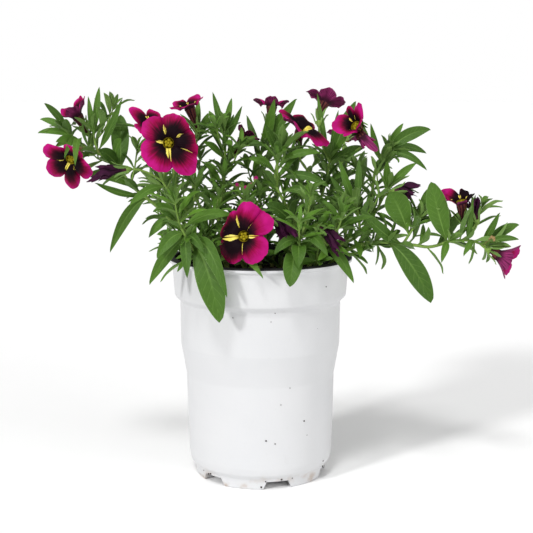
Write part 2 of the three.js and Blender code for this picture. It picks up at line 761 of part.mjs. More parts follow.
/** Whether a point is clear of the pot, the potting mix and everything that is there. */
function isClear(owner, { p, u }) {
  const r = Math.hypot(p.x, p.y);
  const wallInside = COLLAR_FOOT_RADIUS - WALL;
  if (p.z < POT_HEIGHT + CLEAR_POT && r > wallInside - CLEAR_POT && r < LIP_RADIUS + CLEAR_POT) return false;
  if (p.z < SOIL_TOP + SOIL_CROWN + CLEAR_POT && r < LIP_RADIUS) return false;
  const [cx, cy, cz] = [p.x, p.y, p.z].map((v) => Math.floor(v / CELL));
  for (let x = cx - 1; x <= cx + 1; x += 1) {
    for (let y = cy - 1; y <= cy + 1; y += 1) {
      for (let z = cz - 1; z <= cz + 1; z += 1) {
        for (const other of crowd.get(cellKey(x, y, z)) ?? []) {
          const own = other.owner === owner;
          if (own && u < OWN_FOOT) continue;
          if (other.p.distanceTo(p) < (own ? CLEAR_OWN : CLEAR_OTHER)) return false;
        }
      }
    }
  }
  return true;
}

// ---------------------------------------------------------------- blooms

/** Where a corolla's limb ends at an angle, as a share of its reach: five rounded lobes. */
const lobeReach = (turn) => 1 - LOBE_DEPTH * (1 - Math.abs(Math.cos((LOBES * turn) / 2)) ** LOBE_ROUNDING);

/** Radius and height of the limb at a share of its reach, for a limb that opens to `open` degrees. */
function limbAt(reach, share, open) {
  const steps = 8;
  let [r, h] = [THROAT_RADIUS, 0];
  for (let i = 0; i < steps; i += 1) {
    const t = ((i + 0.5) / steps) * share;
    const opened = LIMB_START_DEG + (open - LIMB_START_DEG) * Math.min(1, t * LIMB_OPENING);
    const slope = rad(Math.min(open, opened) + LIMB_RECURVE_DEG * t * t * (open / 90));
    r += Math.sin(slope) * reach * (share / steps);
    h += Math.cos(slope) * reach * (share / steps);
  }
  return [r, h];
}

/** A bloom's axes: its face's middle, the way it faces, and two directions across it. */
function bloomFrame([, , , face, facing, width, open, turn]) {
  const way = vec(...facing).normalize();
  const [a, b] = squareTo(way);
  const [c, s] = [Math.cos(rad(turn)), Math.sin(rad(turn))];
  const across = a.clone().multiplyScalar(c).addScaledVector(b, s);
  const up = b.clone().multiplyScalar(c).addScaledVector(a, -s);
  return { middle: at(face), way, across, up, reach: width / 2 - THROAT_RADIUS, open };
}

const bloomPoint = (f, r, h, turn) => around(f.middle, f.across, f.up, r, turn)
  .addScaledVector(f.way, h);

const bloomRing = (f, r, h, count) => Array.from(
  { length: count }, (_, i) => bloomPoint(f, r, h, (2 * Math.PI * i) / count),
);

/** A corolla: a tube and a limb of five lobes, one thin closed shell. */
function corolla(bloom) {
  const f = bloomFrame(bloom);
  const margin = (h) => Array.from({ length: 4 * LOBES }, (_, i) => {
    const turn = (2 * Math.PI * i) / (4 * LOBES);
    const [r, z] = limbAt(f.reach, lobeReach(turn), f.open);
    return bloomPoint(f, r, z + h, turn);
  });
  const [half, rise] = limbAt(f.reach, LIMB_FOLD, f.open);
  return skin([
    [f.middle.clone().addScaledVector(f.way, -THROAT_DEPTH)],
    bloomRing(f, half, rise, 2 * LOBES),
    margin(0),
    margin(-PETAL),
    bloomRing(f, half, rise - PETAL, 2 * LOBES),
    bloomRing(f, THROAT_RADIUS, TUBE_MOUTH, 2 * LOBES),
    bloomRing(f, TUBE_BASE_RADIUS, -TUBE_LENGTH, 2 * LOBES),
  ]);
}

function bloomSamples(bloom) {
  const f = bloomFrame(bloom);
  const samples = [];
  for (let h = -TUBE_LENGTH; h < 0; h += 2) samples.push(...bloomRing(f, 1.8, h, 4));
  for (let share = 0.12; share <= 1; share += 0.11) {
    const [r, h] = limbAt(f.reach, share, f.open);
    samples.push(...bloomRing(f, r, h, Math.ceil(3.2 * r)));
  }
  return samples;
}

const stemLinesOf = (name) => SHOOTS.find((shoot) => shoot.name === name).stems.map(stemLine);

/** A flower's seat: the end of its stalk, the way it grows from there, and its stalk's line. */
function seatOf(shoot, stalkPlace, base, way) {
  const seat = base.clone().addScaledVector(way, -GAP);
  const start = nearestOn(stemLinesOf(shoot), at(stalkPlace));
  const bend = seat.clone().addScaledVector(way, -STALK_BEND * start.distanceTo(seat));
  const line = [0, 1 / 3, 2 / 3, 1].map((t) => mix(mix(start, bend, t), mix(bend, seat, t), t));
  return { seat, way, line };
}

function bloomSeat(bloom) {
  const f = bloomFrame(bloom);
  return seatOf(bloom[1], bloom[2], f.middle.clone().addScaledVector(f.way, -TUBE_LENGTH), f.way);
}

function wiltedSeat([, shoot, stalkPlace, base, tip]) {
  const way = at(tip).sub(at(base)).normalize();
  return seatOf(shoot, stalkPlace, at(base), way);
}

/** A flower stalk, and at its end the calyx: a shallow cup drawn out into five sepals. */
function stalkParts({ seat, way, line }) {
  const [a, b] = squareTo(way);
  const ring = (places) => Array.from({ length: 2 * LOBES }, (_, i) => {
    const [r, h] = places[i % places.length];
    return around(seat, a, b, r, (Math.PI * i) / LOBES).addScaledVector(way, h);
  });
  const calyx = skin([
    [seat.clone().addScaledVector(way, CALYX.foot[1])],
    ring([CALYX.notch, CALYX.sepalTip]),
    ring([CALYX.floor]),
    [seat.clone()],
  ]);
  const end = seat.clone().addScaledVector(way, -1);
  return [bar([...line.slice(0, -1), end], STALK_RADIUS, STALK_RADIUS), calyx];
}

function sepalSamples({ seat, way }) {
  const [a, b] = squareTo(way);
  const samples = [];
  for (const [r, h] of [[2, 0], [3.3, 2], [4.2, 4.2], [4.9, 6.3], CALYX.sepalTip]) {
    for (let i = 0; i < LOBES; i += 1) {
      const turn = (2 * Math.PI * (i + 0.5)) / LOBES;
      samples.push(around(seat, a, b, r, turn).addScaledVector(way, h));
    }
  }
  return samples;
}

const wiltedMiddle = (base, tip, t) => mix(base, tip, t).add(vec(0, 0, WILTED_SAG * t * (1 - t)));

/** A wilted corolla: a pleated, shrivelled bag that sags from base to tip. */
function shrivelled([, , , basePlace, tipPlace, radius]) {
  const [base, tip] = [at(basePlace), at(tipPlace)];
  const [a, b] = squareTo(tip.clone().sub(base).normalize());
  const rings = WILTED_GIRTH.map(([t, girth], i) => Array.from({ length: 2 * LOBES }, (_, j) => {
    const turn = (Math.PI * (j + 0.3 * i)) / LOBES;
    const pleat = i > 1 && j % 2 ? 1 - PLEAT_DEPTH : 1;
    return around(wiltedMiddle(base, tip, t), a, b, radius * girth * pleat, turn);
  }));
  return skin([...rings, [tip]]);
}

function wiltedSamples([, , , basePlace, tipPlace, radius]) {
  const samples = [];
  for (let t = 0; t <= 1; t += 0.15) {
    const middle = wiltedMiddle(at(basePlace), at(tipPlace), t);
    for (let i = 0; i < 8; i += 1) {
      samples.push(around(middle, vec(0.8, 0, 0), vec(0, 0.4, 0.8), radius, (Math.PI * i) / 4));
    }
  }
  return samples;
}

// ---------------------------------------------------------------- the plant

/** What a leaf tries, nearest to its rule first: [turn about the stem, lean, size]. */
const TRIES = [1, 0.78].flatMap((size) => [
  [0, 0], [22, 0], [-22, 0], [0, -14], [0, 14], [44, 0], [-44, 0], [30, -16], [-30, -16],
  [70, 0], [-70, 0], [50, 16], [-50, 16],
].map(([spin, tilt]) => [spin, tilt, size]));

/** The leaves that grow along a stem by rule, each turned clear of what is already there. */
function foliageOf(owner, stem, random) {
  const line = stemLine(stem);
  const total = lineLength(line) - TIP_INSET;
  const { from, gap, length, ratio } = stem.foliage;
  const leaves = [];
  let turn = 360 * random();
  let distance = from * total;
  while (distance < total) {
    const share = distance / total;
    const { point, way } = alongLine(line, distance);
    const grown = THREE.MathUtils.lerp(length[0], length[1], share) * (1 + LENGTH_SPREAD * (random() - 0.5));
    const lean = THREE.MathUtils.lerp(LEAN.foot, LEAN.tip, share ** 2) + LEAN.spread * (random() - 0.5);
    const curl = CURL.least + CURL.spread * random();
    const wide = ratio * (1 + WIDTH_SPREAD * (random() - 0.5));
    for (const [spin, tilt, size] of TRIES) {
      const reach = grown * size;
      const leaf = sprout(point, way, turn + spin, lean + tilt, reach, reach * wide, curl);
      const samples = leafSamples(leaf);
      if (samples.every((sample) => isClear(owner, sample))) {
        occupy(owner, samples.map(({ p }) => p));
        leaves.push(leaf);
        break;
      }
    }
    turn += GOLDEN_DEG;
    distance += gap * (1 - CROWDING * share);
  }
  return leaves;
}

/** Every leafy stem as one solid: stems, leaves, flower stalks and calyces fused. */
function growShoots() {
  const grown = new Map(SHOOTS.map((shoot) => [shoot.name, []]));
  SHOOTS.forEach((shoot) => shoot.stems.forEach((stem) => {
    const line = stemLine(stem);
    grown.get(shoot.name).push(bar(line, ...stem.radius));
    const total = lineLength(line);
    const samples = [];
    for (let d = 0; d < total; d += 1.5) samples.push(alongLine(line, d).point);
    occupy(shoot.name, samples);
  }));
  SHOOTS.forEach(({ name, blades }) => {
    const lines = stemLinesOf(name);
    blades.map((row) => blade(lines, row)).forEach((leaf) => {
      grown.get(name).push(leafSolid(leaf));
      occupy(name, leafSamples(leaf).map(({ p }) => p));
    });
  });
  BLOOMS.forEach((bloom) => occupy(bloom[0], bloomSamples(bloom)));
  WILTED.forEach((bloom) => occupy(bloom[0], wiltedSamples(bloom)));
  const seats = [...BLOOMS.map((b) => [b[1], bloomSeat(b)]), ...WILTED.map((b) => [b[1], wiltedSeat(b)])];
  seats.forEach(([name, seat]) => {
    grown.get(name).push(...stalkParts(seat));
    occupy(name, [...smoothLine(seat.line, 2), ...sepalSamples(seat)]);
  });
  SHOOTS.forEach((shoot, i) => {
    const random = randomFrom(SPREAD_SEED + i);
    shoot.stems.forEach((stem) => {
      grown.get(shoot.name).push(...foliageOf(shoot.name, stem, random).map(leafSolid));
    });
  });
  return [...grown].map(([name, solids]) => [name, fuse(solids)]);
}

// ---------------------------------------------------------------- pot and potting mix

/** The pot's outer outline from the feet to the top of the lip, as [radius, height]. */
const OUTSIDE = [
  [FOOT_RADIUS, 0],
  [BASE_RADIUS, BASE_HEIGHT],
  [HEEL_RADIUS - 0.8, BASE_HEIGHT + 2.5],
  [HEEL_RADIUS, HEEL_HEIGHT],
  [WAIST_RADIUS, WAIST_HEIGHT],
  [BODY_TOP_RADIUS - 0.4, SHOULDER_HEIGHT],
  [BODY_TOP_RADIUS, STEP_HEIGHT],
  [COLLAR_FOOT_RADIUS, COLLAR_FOOT_HEIGHT],
  [COLLAR_TOP_RADIUS, POT_HEIGHT - LIP_DEPTH],
  [LIP_RADIUS, POT_HEIGHT - LIP_DEPTH + 0.4],
  [LIP_RADIUS, POT_HEIGHT - 0.4],
  [LIP_RADIUS - 0.8, POT_HEIGHT],
];

/** The inside, from the lip down to the floor's edge. */
const INSIDE = [
  [COLLAR_TOP_RADIUS - WALL, POT_HEIGHT],
  [COLLAR_FOOT_RADIUS - WALL, COLLAR_FOOT_HEIGHT + 0.6],
  [BODY_TOP_RADIUS - WALL, STEP_HEIGHT - 0.6],
  [BODY_TOP_RADIUS - WALL - 0.4, SHOULDER_HEIGHT],
  [WAIST_RADIUS - WALL, WAIST_HEIGHT],
  [HEEL_RADIUS - WALL, HEEL_HEIGHT],
  [HEEL_RADIUS - WALL - 2, FLOOR_TOP],
];

/** A solid of revolution about Z from an outline of [radius, height] points. */
function lathe(outline, sides) {
  const geometry = new THREE.LatheGeometry(outline.map(([r, z]) => new THREE.Vector2(r, z)), sides);
  return toManifold(geometry.rotateX(Math.PI / 2));
}

/** A wedge that cuts one notch out of the foot ring. */
function notchCutter(degrees) {
  const half = FOOT_RADIUS * Math.sin(rad(FOOT_NOTCH_DEG / 2));
  const height = BASE_HEIGHT - WALL;
  const top = half * NOTCH_TAPER;
  const corners = [[-half, -1], [half, -1], [top, height], [-top, height]];
  const shape = new THREE.Shape(corners.map(([x, y]) => new THREE.Vector2(x, y)));
  const cutter = new THREE.ExtrudeGeometry(shape, { depth: 14, bevelEnabled: false });
  cutter.rotateX(Math.PI / 2).translate(0, FOOT_INNER_RADIUS + 12, 0).rotateZ(rad(degrees - 90));
  return toManifold(cutter);
}

function drainCutter(degrees) {
  const hole = new THREE.CylinderGeometry(DRAIN_RADIUS, DRAIN_RADIUS, 20, 6).rotateX(Math.PI / 2);
  return toManifold(hole.translate(DRAIN_CIRCLE, 0, BASE_HEIGHT).rotateZ(rad(degrees)));
}

function potShape() {
  const outline = [
    ...OUTSIDE, ...INSIDE, [0, FLOOR_TOP], [0, BASE_HEIGHT - WALL],
    [FOOT_INNER_RADIUS, BASE_HEIGHT - WALL], [FOOT_INNER_RADIUS + 1, 0], OUTSIDE[0],
  ];
  let solid = lathe(outline, POT_SIDES);
  for (let i = 0; i < FOOT_COUNT; i += 1) {
    const degrees = FIRST_NOTCH_DEG + (360 / FOOT_COUNT) * i;
    solid = solid.subtract(notchCutter(degrees)).subtract(drainCutter(degrees));
  }
  return fromManifold(solid);
}

function soilShape() {
  const wall = INSIDE.filter(([, z]) => z < SOIL_TOP).map(([r, z]) => [r - GAP, z]).reverse();
  wall[0][1] += GAP;
  const [topRadius] = INSIDE[1];
  const outline = [
    [0, FLOOR_TOP + GAP], ...wall, [topRadius + 0.2, SOIL_TOP],
    [topRadius * 0.7, SOIL_TOP + SOIL_CROWN * 0.6], [0, SOIL_TOP + SOIL_CROWN],
  ];
  let solid = lathe(outline, SOIL_SIDES);
  SHOOTS.forEach(({ stems }) => stems.filter(({ root }) => root).forEach(({ root, radius }) => {
    const size = (radius[0] + GAP) * Math.SQRT2;
    const hole = new THREE.CylinderGeometry(size, size, 40, STEM_SIDES).rotateX(Math.PI / 2);
    solid = solid.subtract(toManifold(hole.translate(...root, SOIL_TOP - ROOT_DEPTH - GAP + 20)));
  }));
  return fromManifold(solid);
}

// ---------------------------------------------------------------- the part

const MATERIALS = {
  pot: new THREE.MeshStandardMaterial({ color: 0xf2f2f4, roughness: 0.42, metalness: 0 }),
  soil: new THREE.MeshStandardMaterial({ color: 0x2a1f18, roughness: 0.95, metalness: 0 }),
  leaf: new THREE.MeshStandardMaterial({ color: 0x4d7f33, roughness: 0.6, metalness: 0 }),
  petal: new THREE.MeshStandardMaterial({ color: 0xb5157a, roughness: 0.55, metalness: 0 }),
  wilted: new THREE.MeshStandardMaterial({ color: 0x33172f, roughness: 0.8, metalness: 0 }),
};

const plant = new THREE.Group();

function place(name, geometry, material) {
  const mesh = new THREE.Mesh(geometry, MATERIALS[material]);
  mesh.name = name;
  plant.add(mesh);
}

place('pot', potShape(), 'pot');
place('soil', soilShape(), 'soil');
growShoots().forEach(([name, geometry]) => place(name, geometry, 'leaf'));
BLOOMS.forEach((bloom) => place(bloom[0], corolla(bloom), 'petal'));
WILTED.forEach((bloom) => place(bloom[0], shrivelled(bloom), 'wilted'));

const footprint = new THREE.Box3().setFromObject(plant).getCenter(new THREE.Vector3());
plant.position.set(-footprint.x, -footprint.y, 0);

export default plant;
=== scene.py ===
"""A calibrachoa in a white nursery pot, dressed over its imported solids.

Everything is laid out in millimetres round the pot's axis, with the ground at z = 0, by the same
rule and the same seeded draws as the solids. A Piece moves its points into the frame, in metres.
"""

import functools
import math
from collections import namedtuple
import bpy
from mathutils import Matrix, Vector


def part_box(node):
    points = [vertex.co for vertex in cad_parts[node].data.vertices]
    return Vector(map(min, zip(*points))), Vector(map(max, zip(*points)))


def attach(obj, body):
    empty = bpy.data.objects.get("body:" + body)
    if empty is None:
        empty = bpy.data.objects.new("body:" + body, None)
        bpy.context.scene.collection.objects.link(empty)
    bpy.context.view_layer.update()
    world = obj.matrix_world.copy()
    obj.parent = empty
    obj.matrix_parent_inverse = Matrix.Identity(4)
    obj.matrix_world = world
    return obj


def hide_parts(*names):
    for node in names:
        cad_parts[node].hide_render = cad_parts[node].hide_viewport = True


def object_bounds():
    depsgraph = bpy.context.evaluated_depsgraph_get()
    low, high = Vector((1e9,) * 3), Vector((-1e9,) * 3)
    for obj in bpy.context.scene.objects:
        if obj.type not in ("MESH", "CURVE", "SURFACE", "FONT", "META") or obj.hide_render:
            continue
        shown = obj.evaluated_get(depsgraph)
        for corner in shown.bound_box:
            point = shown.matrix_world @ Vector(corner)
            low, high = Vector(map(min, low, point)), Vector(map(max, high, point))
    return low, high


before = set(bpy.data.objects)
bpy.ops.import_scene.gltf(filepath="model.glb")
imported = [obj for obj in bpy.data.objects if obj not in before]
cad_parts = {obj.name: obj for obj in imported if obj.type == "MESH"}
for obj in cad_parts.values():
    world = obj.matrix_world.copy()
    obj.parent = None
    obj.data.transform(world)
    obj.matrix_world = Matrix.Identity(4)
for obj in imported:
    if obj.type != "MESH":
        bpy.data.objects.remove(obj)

from types import SimpleNamespace

import bpy
import numpy as np

CAD_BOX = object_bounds()

# ---------------------------------------------------------------- driving dimensions, in mm

MM = 0.001
AXIS = np.mean(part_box("pot"), axis=0)  # the pot's axis in the frame, in metres
AXIS[2] = 0

POT_HEIGHT = 130.5
LIP_RADIUS = 54
LIP_DEPTH = 3
COLLAR_TOP_RADIUS = 52
COLLAR_FOOT_RADIUS = 50.6
COLLAR_FOOT_HEIGHT = 108
STEP_HEIGHT = 104.8
BODY_TOP_RADIUS = 47.3
SHOULDER_HEIGHT = 79
WAIST_HEIGHT = 61
WAIST_RADIUS = 43.7
HEEL_HEIGHT = 13
HEEL_RADIUS = 42.6
BASE_HEIGHT = 6.3
BASE_RADIUS = 39.4
FOOT_RADIUS = 38.6
WALL = 1.5
FLOOR_TOP = BASE_HEIGHT + WALL
FOOT_COUNT = 6
FOOT_NOTCH_DEG = 27
FIRST_NOTCH_DEG = -75
NOTCH_TAPER = 0.72
FOOT_INNER_RADIUS = 31
DRAIN_RADIUS = 4
DRAIN_CIRCLE = 24

SOIL_TOP = 118
SOIL_CROWN = 2.5
ROOT_DEPTH = 14

STEM_STEP = 9
TIP_INSET = 1.5
STALK_RADIUS = 0.6
STALK_BEND = 0.45

GOLDEN_DEG = 137.5
CROWDING = 0.34
LENGTH_SPREAD = 0.3
WIDTH_SPREAD = 0.3
LEAN_FOOT, LEAN_TIP, LEAN_SPREAD = 66, 28, 14
CURL_LEAST, CURL_SPREAD = 8, 34
LIFT = 0.22
SKYWARD = 0.5

BLADE_FACE = (0, -0.55, 0.85)
BOW_WAY = (0, -0.25, 1)
BLADE_KNEE = 0.45

GAP = 0.3
TUBE_LENGTH = 13
TUBE_BASE_RADIUS = 1.2
THROAT_RADIUS = 2.9
THROAT_DEPTH = 6
LOBES = 5
LOBE_ROUNDING = 0.7
LIMB_START_DEG = 25
LIMB_OPENING = 3
LIMB_RECURVE_DEG = 14
LIMB_CUTS = 8
WILTED_SAG = 4

# How far a leaf's points stay from other pieces and from its own piece, and the share of the leaf,
# from its base, that may touch its own piece.
Room = namedtuple("Room", "other own foot")
RULE_ROOM = Room(2.3, 1.5, 0.35)
SIDE_LEAF_ROOM = Room(1.0, 0.6, 0.4)
TUFT_ROOM = Room(1.0, 0.35, 0.55)
SIDE_STEM_ROOM = Room(1.6, 1.2, 0.3)
CLEAR_POT = 1.4

# ---------------------------------------------------------------- the plant's layout

# A place is [x, z, y]: x and z on the front elevation, drawn on the plane of the pot's axis as
# seen from EYE, and y, its depth behind that plane.
EYE = (3.6, -653, 224)

# A stem is its root [x, y] or nothing for a branch, its places, its radius at both ends and its
# foliage: where it starts, as a share, the gap from leaf to leaf at first, the leaves' length at
# both ends and their width for their length. A blade is base place, tip place, width, and how far
# its middle bows up or down.
Stem = namedtuple("Stem", "root places radius start gap length ratio")
Shoot = namedtuple("Shoot", "stems blades")

SHOOTS = {
    "stem_left_arch": Shoot([
        Stem([-27, -6], [
            [-34, 138, -9], [-43, 146, -12], [-51, 150, -14], [-60, 159, -14], [-68.5, 166, -14],
            [-75, 171.5, -14], [-81, 179.5, -13], [-87, 186, -12], [-93.5, 190, -12], [-100, 193, -12],
            [-107, 198, -11], [-112, 203, -10],
        ], [1.5, 0.8], 0.18, 8.5, [24, 16], 0.26),
        Stem(None, [[-94, 190.5, -12], [-96, 196, -10], [-97, 203, -8]],
             [0.8, 0.6], 0.3, 4.5, [16, 13], 0.23),
    ], [
        [[-112, 202, -10], [-125, 219.5, -22], 4.5, 0.08], [[-111, 201.5, -10], [-128, 210.5, -4], 4, 0.1],
        [[-109, 200, -11], [-129.5, 202.5, -16], 4, 0.1], [[-106, 197.5, -11], [-119.5, 194, -22], 4, 0.12],
        [[-97, 200, -8], [-93, 229, -6], 4, 0.04], [[-97, 199, -8], [-99.5, 223.5, -10], 3.6, -0.05],
        [[-94.5, 192, -12], [-80, 222, -16], 4.4, -0.06], [[-80.5, 181, -13], [-81, 213, -4], 10.5, -0.05],
        [[-86, 185, -12], [-81, 199, -22], 6.5, 0.12], [[-76, 172.5, -14], [-101.5, 178, -20], 5.5, 0.12],
        [[-66, 164, -14], [-89, 132, -18], 6.6, 0.17], [[-52, 151, -14], [-66, 141, -4], 6, 0.15],
    ]),
    "stem_left_rosette": Shoot([
        Stem([-25, -27], [
            [-31.5, 123, -31], [-39.3, 134, -38], [-44.5, 143, -41], [-49, 151, -39], [-52, 160, -36],
        ], [1.3, 0.7], 0.5, 4.5, [21, 14], 0.26),
    ], [
        [[-44.5, 142, -42], [-43.4, 116.9, -54], 6, 0.12], [[-45, 143, -41], [-61.5, 128.7, -46], 7, 0.2],
        [[-44, 141, -40], [-66.3, 112.7, -38], 7, 0.12], [[-43.5, 142, -42], [-33.3, 131.9, -56], 5, 0.15],
        [[-40, 135, -39], [-24.2, 89.8, -58], 15, 0.22], [[-41, 137, -38], [-19.8, 105, -61], 8.5, 0.3],
        [[-46, 146, -40], [-16.5, 154.5, -43], 6, 0.14], [[-48, 149.5, -39], [-61.5, 161, -44], 6, 0.12],
    ]),
    "stem_left_flower": Shoot([
        Stem([-18, -15], [
            [-25, 134, -19], [-33, 146, -24], [-42, 156, -27], [-51, 165, -28], [-57, 174, -27],
            [-60.5, 183, -25],
        ], [1.4, 0.7], 0.3, 6.5, [25, 14], 0.23),
    ], [
        [[-60.5, 182, -25], [-68.5, 196, -20], 4.6, 0.1], [[-55, 171, -27], [-77, 160, -34], 5, 0.14],
    ]),
    "stem_centre_left": Shoot([
        Stem([-9, 0], [
            [-18, 140, 1], [-25, 154, 2], [-22, 166, 2], [-21, 178, 3], [-20.5, 190.5, 3], [-21, 202, 3],
        ], [1.4, 0.8], 0.17, 6.1, [29, 18], 0.22),
    ], [
        [[-21, 200, 3], [-27.5, 226, 6], 4, -0.04], [[-20.5, 201, 3], [-16.5, 222.5, 8], 3.8, 0.04],
        [[-20.5, 197, 3], [-10.5, 218, -2], 3.6, -0.05], [[-20.5, 190, 3], [4, 194.5, -6], 4.6, 0.16],
        [[-20.8, 186, 3], [-33, 197, -8], 4.6, 0.1],
    ]),
    "stem_centre_right": Shoot([
        Stem([13, -14], [
            [18, 133, -19], [22, 143, -22], [17, 155.5, -21], [13.5, 163, -19], [9.5, 171, -18],
            [9, 180.5, -17], [12.5, 192, -16],
        ], [1.5, 0.8], 0.36, 5.5, [26, 17], 0.23),
    ], [
        [[12, 190, -16], [2.5, 207, -20], 3.6, -0.06], [[12.5, 191, -16], [13, 208, -33], 4.4, 0.05],
        [[12.3, 189, -16], [28, 204, -37], 5, 0.08], [[11, 185, -17], [35, 191, -24], 4.6, 0.1],
        [[9.3, 179, -17], [-7, 187.5, -24], 4.2, 0.12], [[9.8, 175, -18], [41, 170.5, -26], 5, 0.16],
        [[12, 167, -18], [41, 157.5, -30], 5.2, 0.2], [[20, 146, -22], [3, 161, -30], 8, 0.12],
        [[21.5, 142, -22], [33.5, 155.5, -32], 6, 0.1],
    ]),
    "stem_front": Shoot([
        Stem([16, -31], [[18, 124, -35], [21, 132, -40], [23, 139, -42], [26, 147, -40], [28, 156, -36]],
             [1.2, 0.7], 0.55, 4.5, [20, 14], 0.26),
    ], [
        [[22, 136.5, -42], [22.5, 122.9, -58], 8, 0.2], [[20.5, 132, -40], [17.5, 111.5, -60], 10.5, 0.22],
        [[23, 138, -42], [8, 131, -56], 5.5, 0.2], [[24, 143, -42], [40, 130, -62], 5.5, 0.16],
    ]),
    "stem_front_flower": Shoot([
        Stem([-5, -27], [[-6, 126, -30], [-6, 139, -31], [-8, 152, -28], [-9, 163, -24]],
             [1.2, 0.6], 0.42, 5, [22, 15], 0.23),
    ], [
        [[-6, 127, -30], [1.9, 116.5, -61], 5, 0.22], [[-6.2, 134, -31], [-23.5, 127, -50], 6, 0.15],
    ]),
    "stem_right_front": Shoot([
        Stem([29, -24], [[34, 128, -33], [39.5, 136, -39], [44, 146, -40], [46.5, 157, -37]],
             [1.2, 0.7], 0.42, 5, [22, 14], 0.24),
    ], [
        [[39, 134.5, -38.5], [55.5, 113.7, -48], 6, 0.16], [[44, 146, -40], [60, 151, -46], 5, 0.14],
    ]),
    "stem_right_mid": Shoot([
        Stem([26, -9], [
            [36, 132, -13], [48, 137, -16], [57.5, 142.5, -17], [58, 151, -15], [56.5, 160, -14],
        ], [1.3, 0.8], 0.4, 5, [23, 17], 0.23),
    ], [
        [[56.5, 158, -14], [46, 187, -18], 4.4, -0.06], [[56.7, 156, -14], [40.5, 178, -24], 4.2, -0.06],
        [[57, 153, -15], [37.5, 164, -26], 4.4, 0.12], [[56.5, 160, -14], [57.5, 187.5, -12], 4, 0.03],
    ]),
    "stem_right_tall": Shoot([
        Stem([23, 4], [
            [36, 132, 6], [50, 140, 6], [62, 148, 4], [65, 163, 3], [67, 180, 2], [71.5, 189, 1],
            [74, 192, 0],
        ], [1.5, 0.8], 0.3, 6.5, [26, 17], 0.23),
        Stem(None, [[63, 151, 4], [68, 157, -3], [71, 163, -6], [74, 169.5, -7]],
             [1, 0.7], 0.4, 5, [18, 14], 0.23),
    ], [
        [[74, 191, 0], [99, 204.5, -6], 7.5, 0.12], [[73.5, 190.5, 0], [97, 190.5, 6], 5, 0.14],
        [[72, 188.5, 1], [97.5, 180.5, -8], 4.4, 0.18], [[70, 186, 1], [64, 208, -8], 4, -0.05],
        [[72, 189, 1], [83, 208, 6], 4.2, 0.05], [[73.5, 168.5, -7], [91, 185, -12], 4.6, 0.08],
        [[74, 169, -7], [74, 186, -16], 4.2, 0.05],
    ]),
    "stem_right_trail": Shoot([
        Stem([36, -13], [
            [50, 133, -18], [67, 138.5, -22], [81, 137.5, -22], [91.5, 136.5, -21], [99, 135.5, -20],
            [106.5, 137, -20], [112, 139, -20], [118.5, 139.5, -19], [125.5, 139, -18], [133, 136, -17],
        ], [1.5, 0.8], 0.3, 7.5, [22, 14], 0.26),
        Stem(None, [[84, 137.2, -22], [88, 143.5, -19], [94, 153, -17]],
             [0.9, 0.6], 0.4, 4.5, [15, 12], 0.28),
    ], [
        [[110, 138.5, -20], [100, 174, -24], 12, -0.06], [[122, 139.2, -18.5], [126, 166.5, -12], 5, -0.16],
        [[133, 136, -17], [152.5, 149, -14], 6, 0.1], [[132, 136.3, -17], [152.5, 140, -26], 4, 0.1],
        [[130, 137, -17], [140.5, 156, -22], 4.2, -0.06], [[126, 138.8, -18], [120, 130, -30], 4, 0.16],
        [[111, 138.6, -20], [107, 126, -31], 4.4, 0.16], [[74, 138, -22], [102, 102, -34], 12, 0.14],
        [[84, 137.3, -22], [58.5, 158.5, -34], 7, -0.08], [[87, 143, -19.5], [76, 168, -26], 14, 0.06],
        [[94, 152, -17], [98, 170, -14], 4.4, 0.05],
    ]),
    "stem_top_left": Shoot([
        Stem([-20, 12], [[-30, 144, 16], [-36, 160, 20], [-40, 176, 20], [-39.5, 190, 17], [-36, 200, 14]],
             [1.4, 0.7], 0.22, 6, [29, 17], 0.22),
    ], [
        [[-36.5, 198, 15], [-35.8, 222, 24], 4, 0.04], [[-39.8, 184, 18], [-58, 202, 26], 5, -0.08],
    ]),
    "stem_top_centre": Shoot([
        Stem([0, 17], [[3, 146, 20], [0, 162, 22], [-2, 178, 22], [1, 192, 20]],
             [1.4, 0.7], 0.2, 6, [29, 17], 0.22),
    ], [
        [[0.5, 190, 20], [-8, 213, 36], 4.4, -0.05], [[1, 191, 20], [18, 209, 30], 4, 0.06],
    ]),
    "stem_top_right": Shoot([
        Stem([12, 5], [[24, 145, 6], [33, 159, 6], [38, 173, 5], [40.5, 187, 5]],
             [1.4, 0.7], 0.2, 6, [26, 16], 0.22),
    ], [
        [[40.5, 186, 5], [50, 200, -6], 4, 0.06], [[39.8, 182, 5], [52, 186, -14], 4.4, 0.1],
        [[37, 170, 5], [49, 179, -8], 4.2, 0.08],
    ]),
    "stem_back_left": Shoot([
        Stem([-27, 22], [[-39, 143, 32], [-49, 155, 43], [-56, 165, 52], [-61, 172, 60]],
             [1.4, 0.7], 0.25, 6.5, [26, 16], 0.26),
    ], []),
    "stem_back": Shoot([
        Stem([-6, 33], [[-10, 140, 44], [-13, 147, 57], [-15, 148, 70], [-15, 146, 82], [-13, 146, 91]],
             [1.4, 0.7], 0.25, 7, [25, 15], 0.26),
    ], []),
    "stem_back_right": Shoot([
        Stem([22, 24], [[31, 143, 34], [41, 156, 42], [47, 172, 50], [49, 184, 56]],
             [1.4, 0.7], 0.25, 6.5, [25, 15], 0.26),
    ], []),
    "stem_back_upright": Shoot([
        Stem([7, 30], [[14, 146, 34], [19, 162, 38], [20, 176, 40], [18, 187, 40]],
             [1.4, 0.7], 0.2, 6.5, [29, 17], 0.23),
    ], []),
}

Bloom = namedtuple("Bloom", "name shoot stalk face facing width opening turn")
Wilt = namedtuple("Wilt", "name shoot stalk base tip radius")

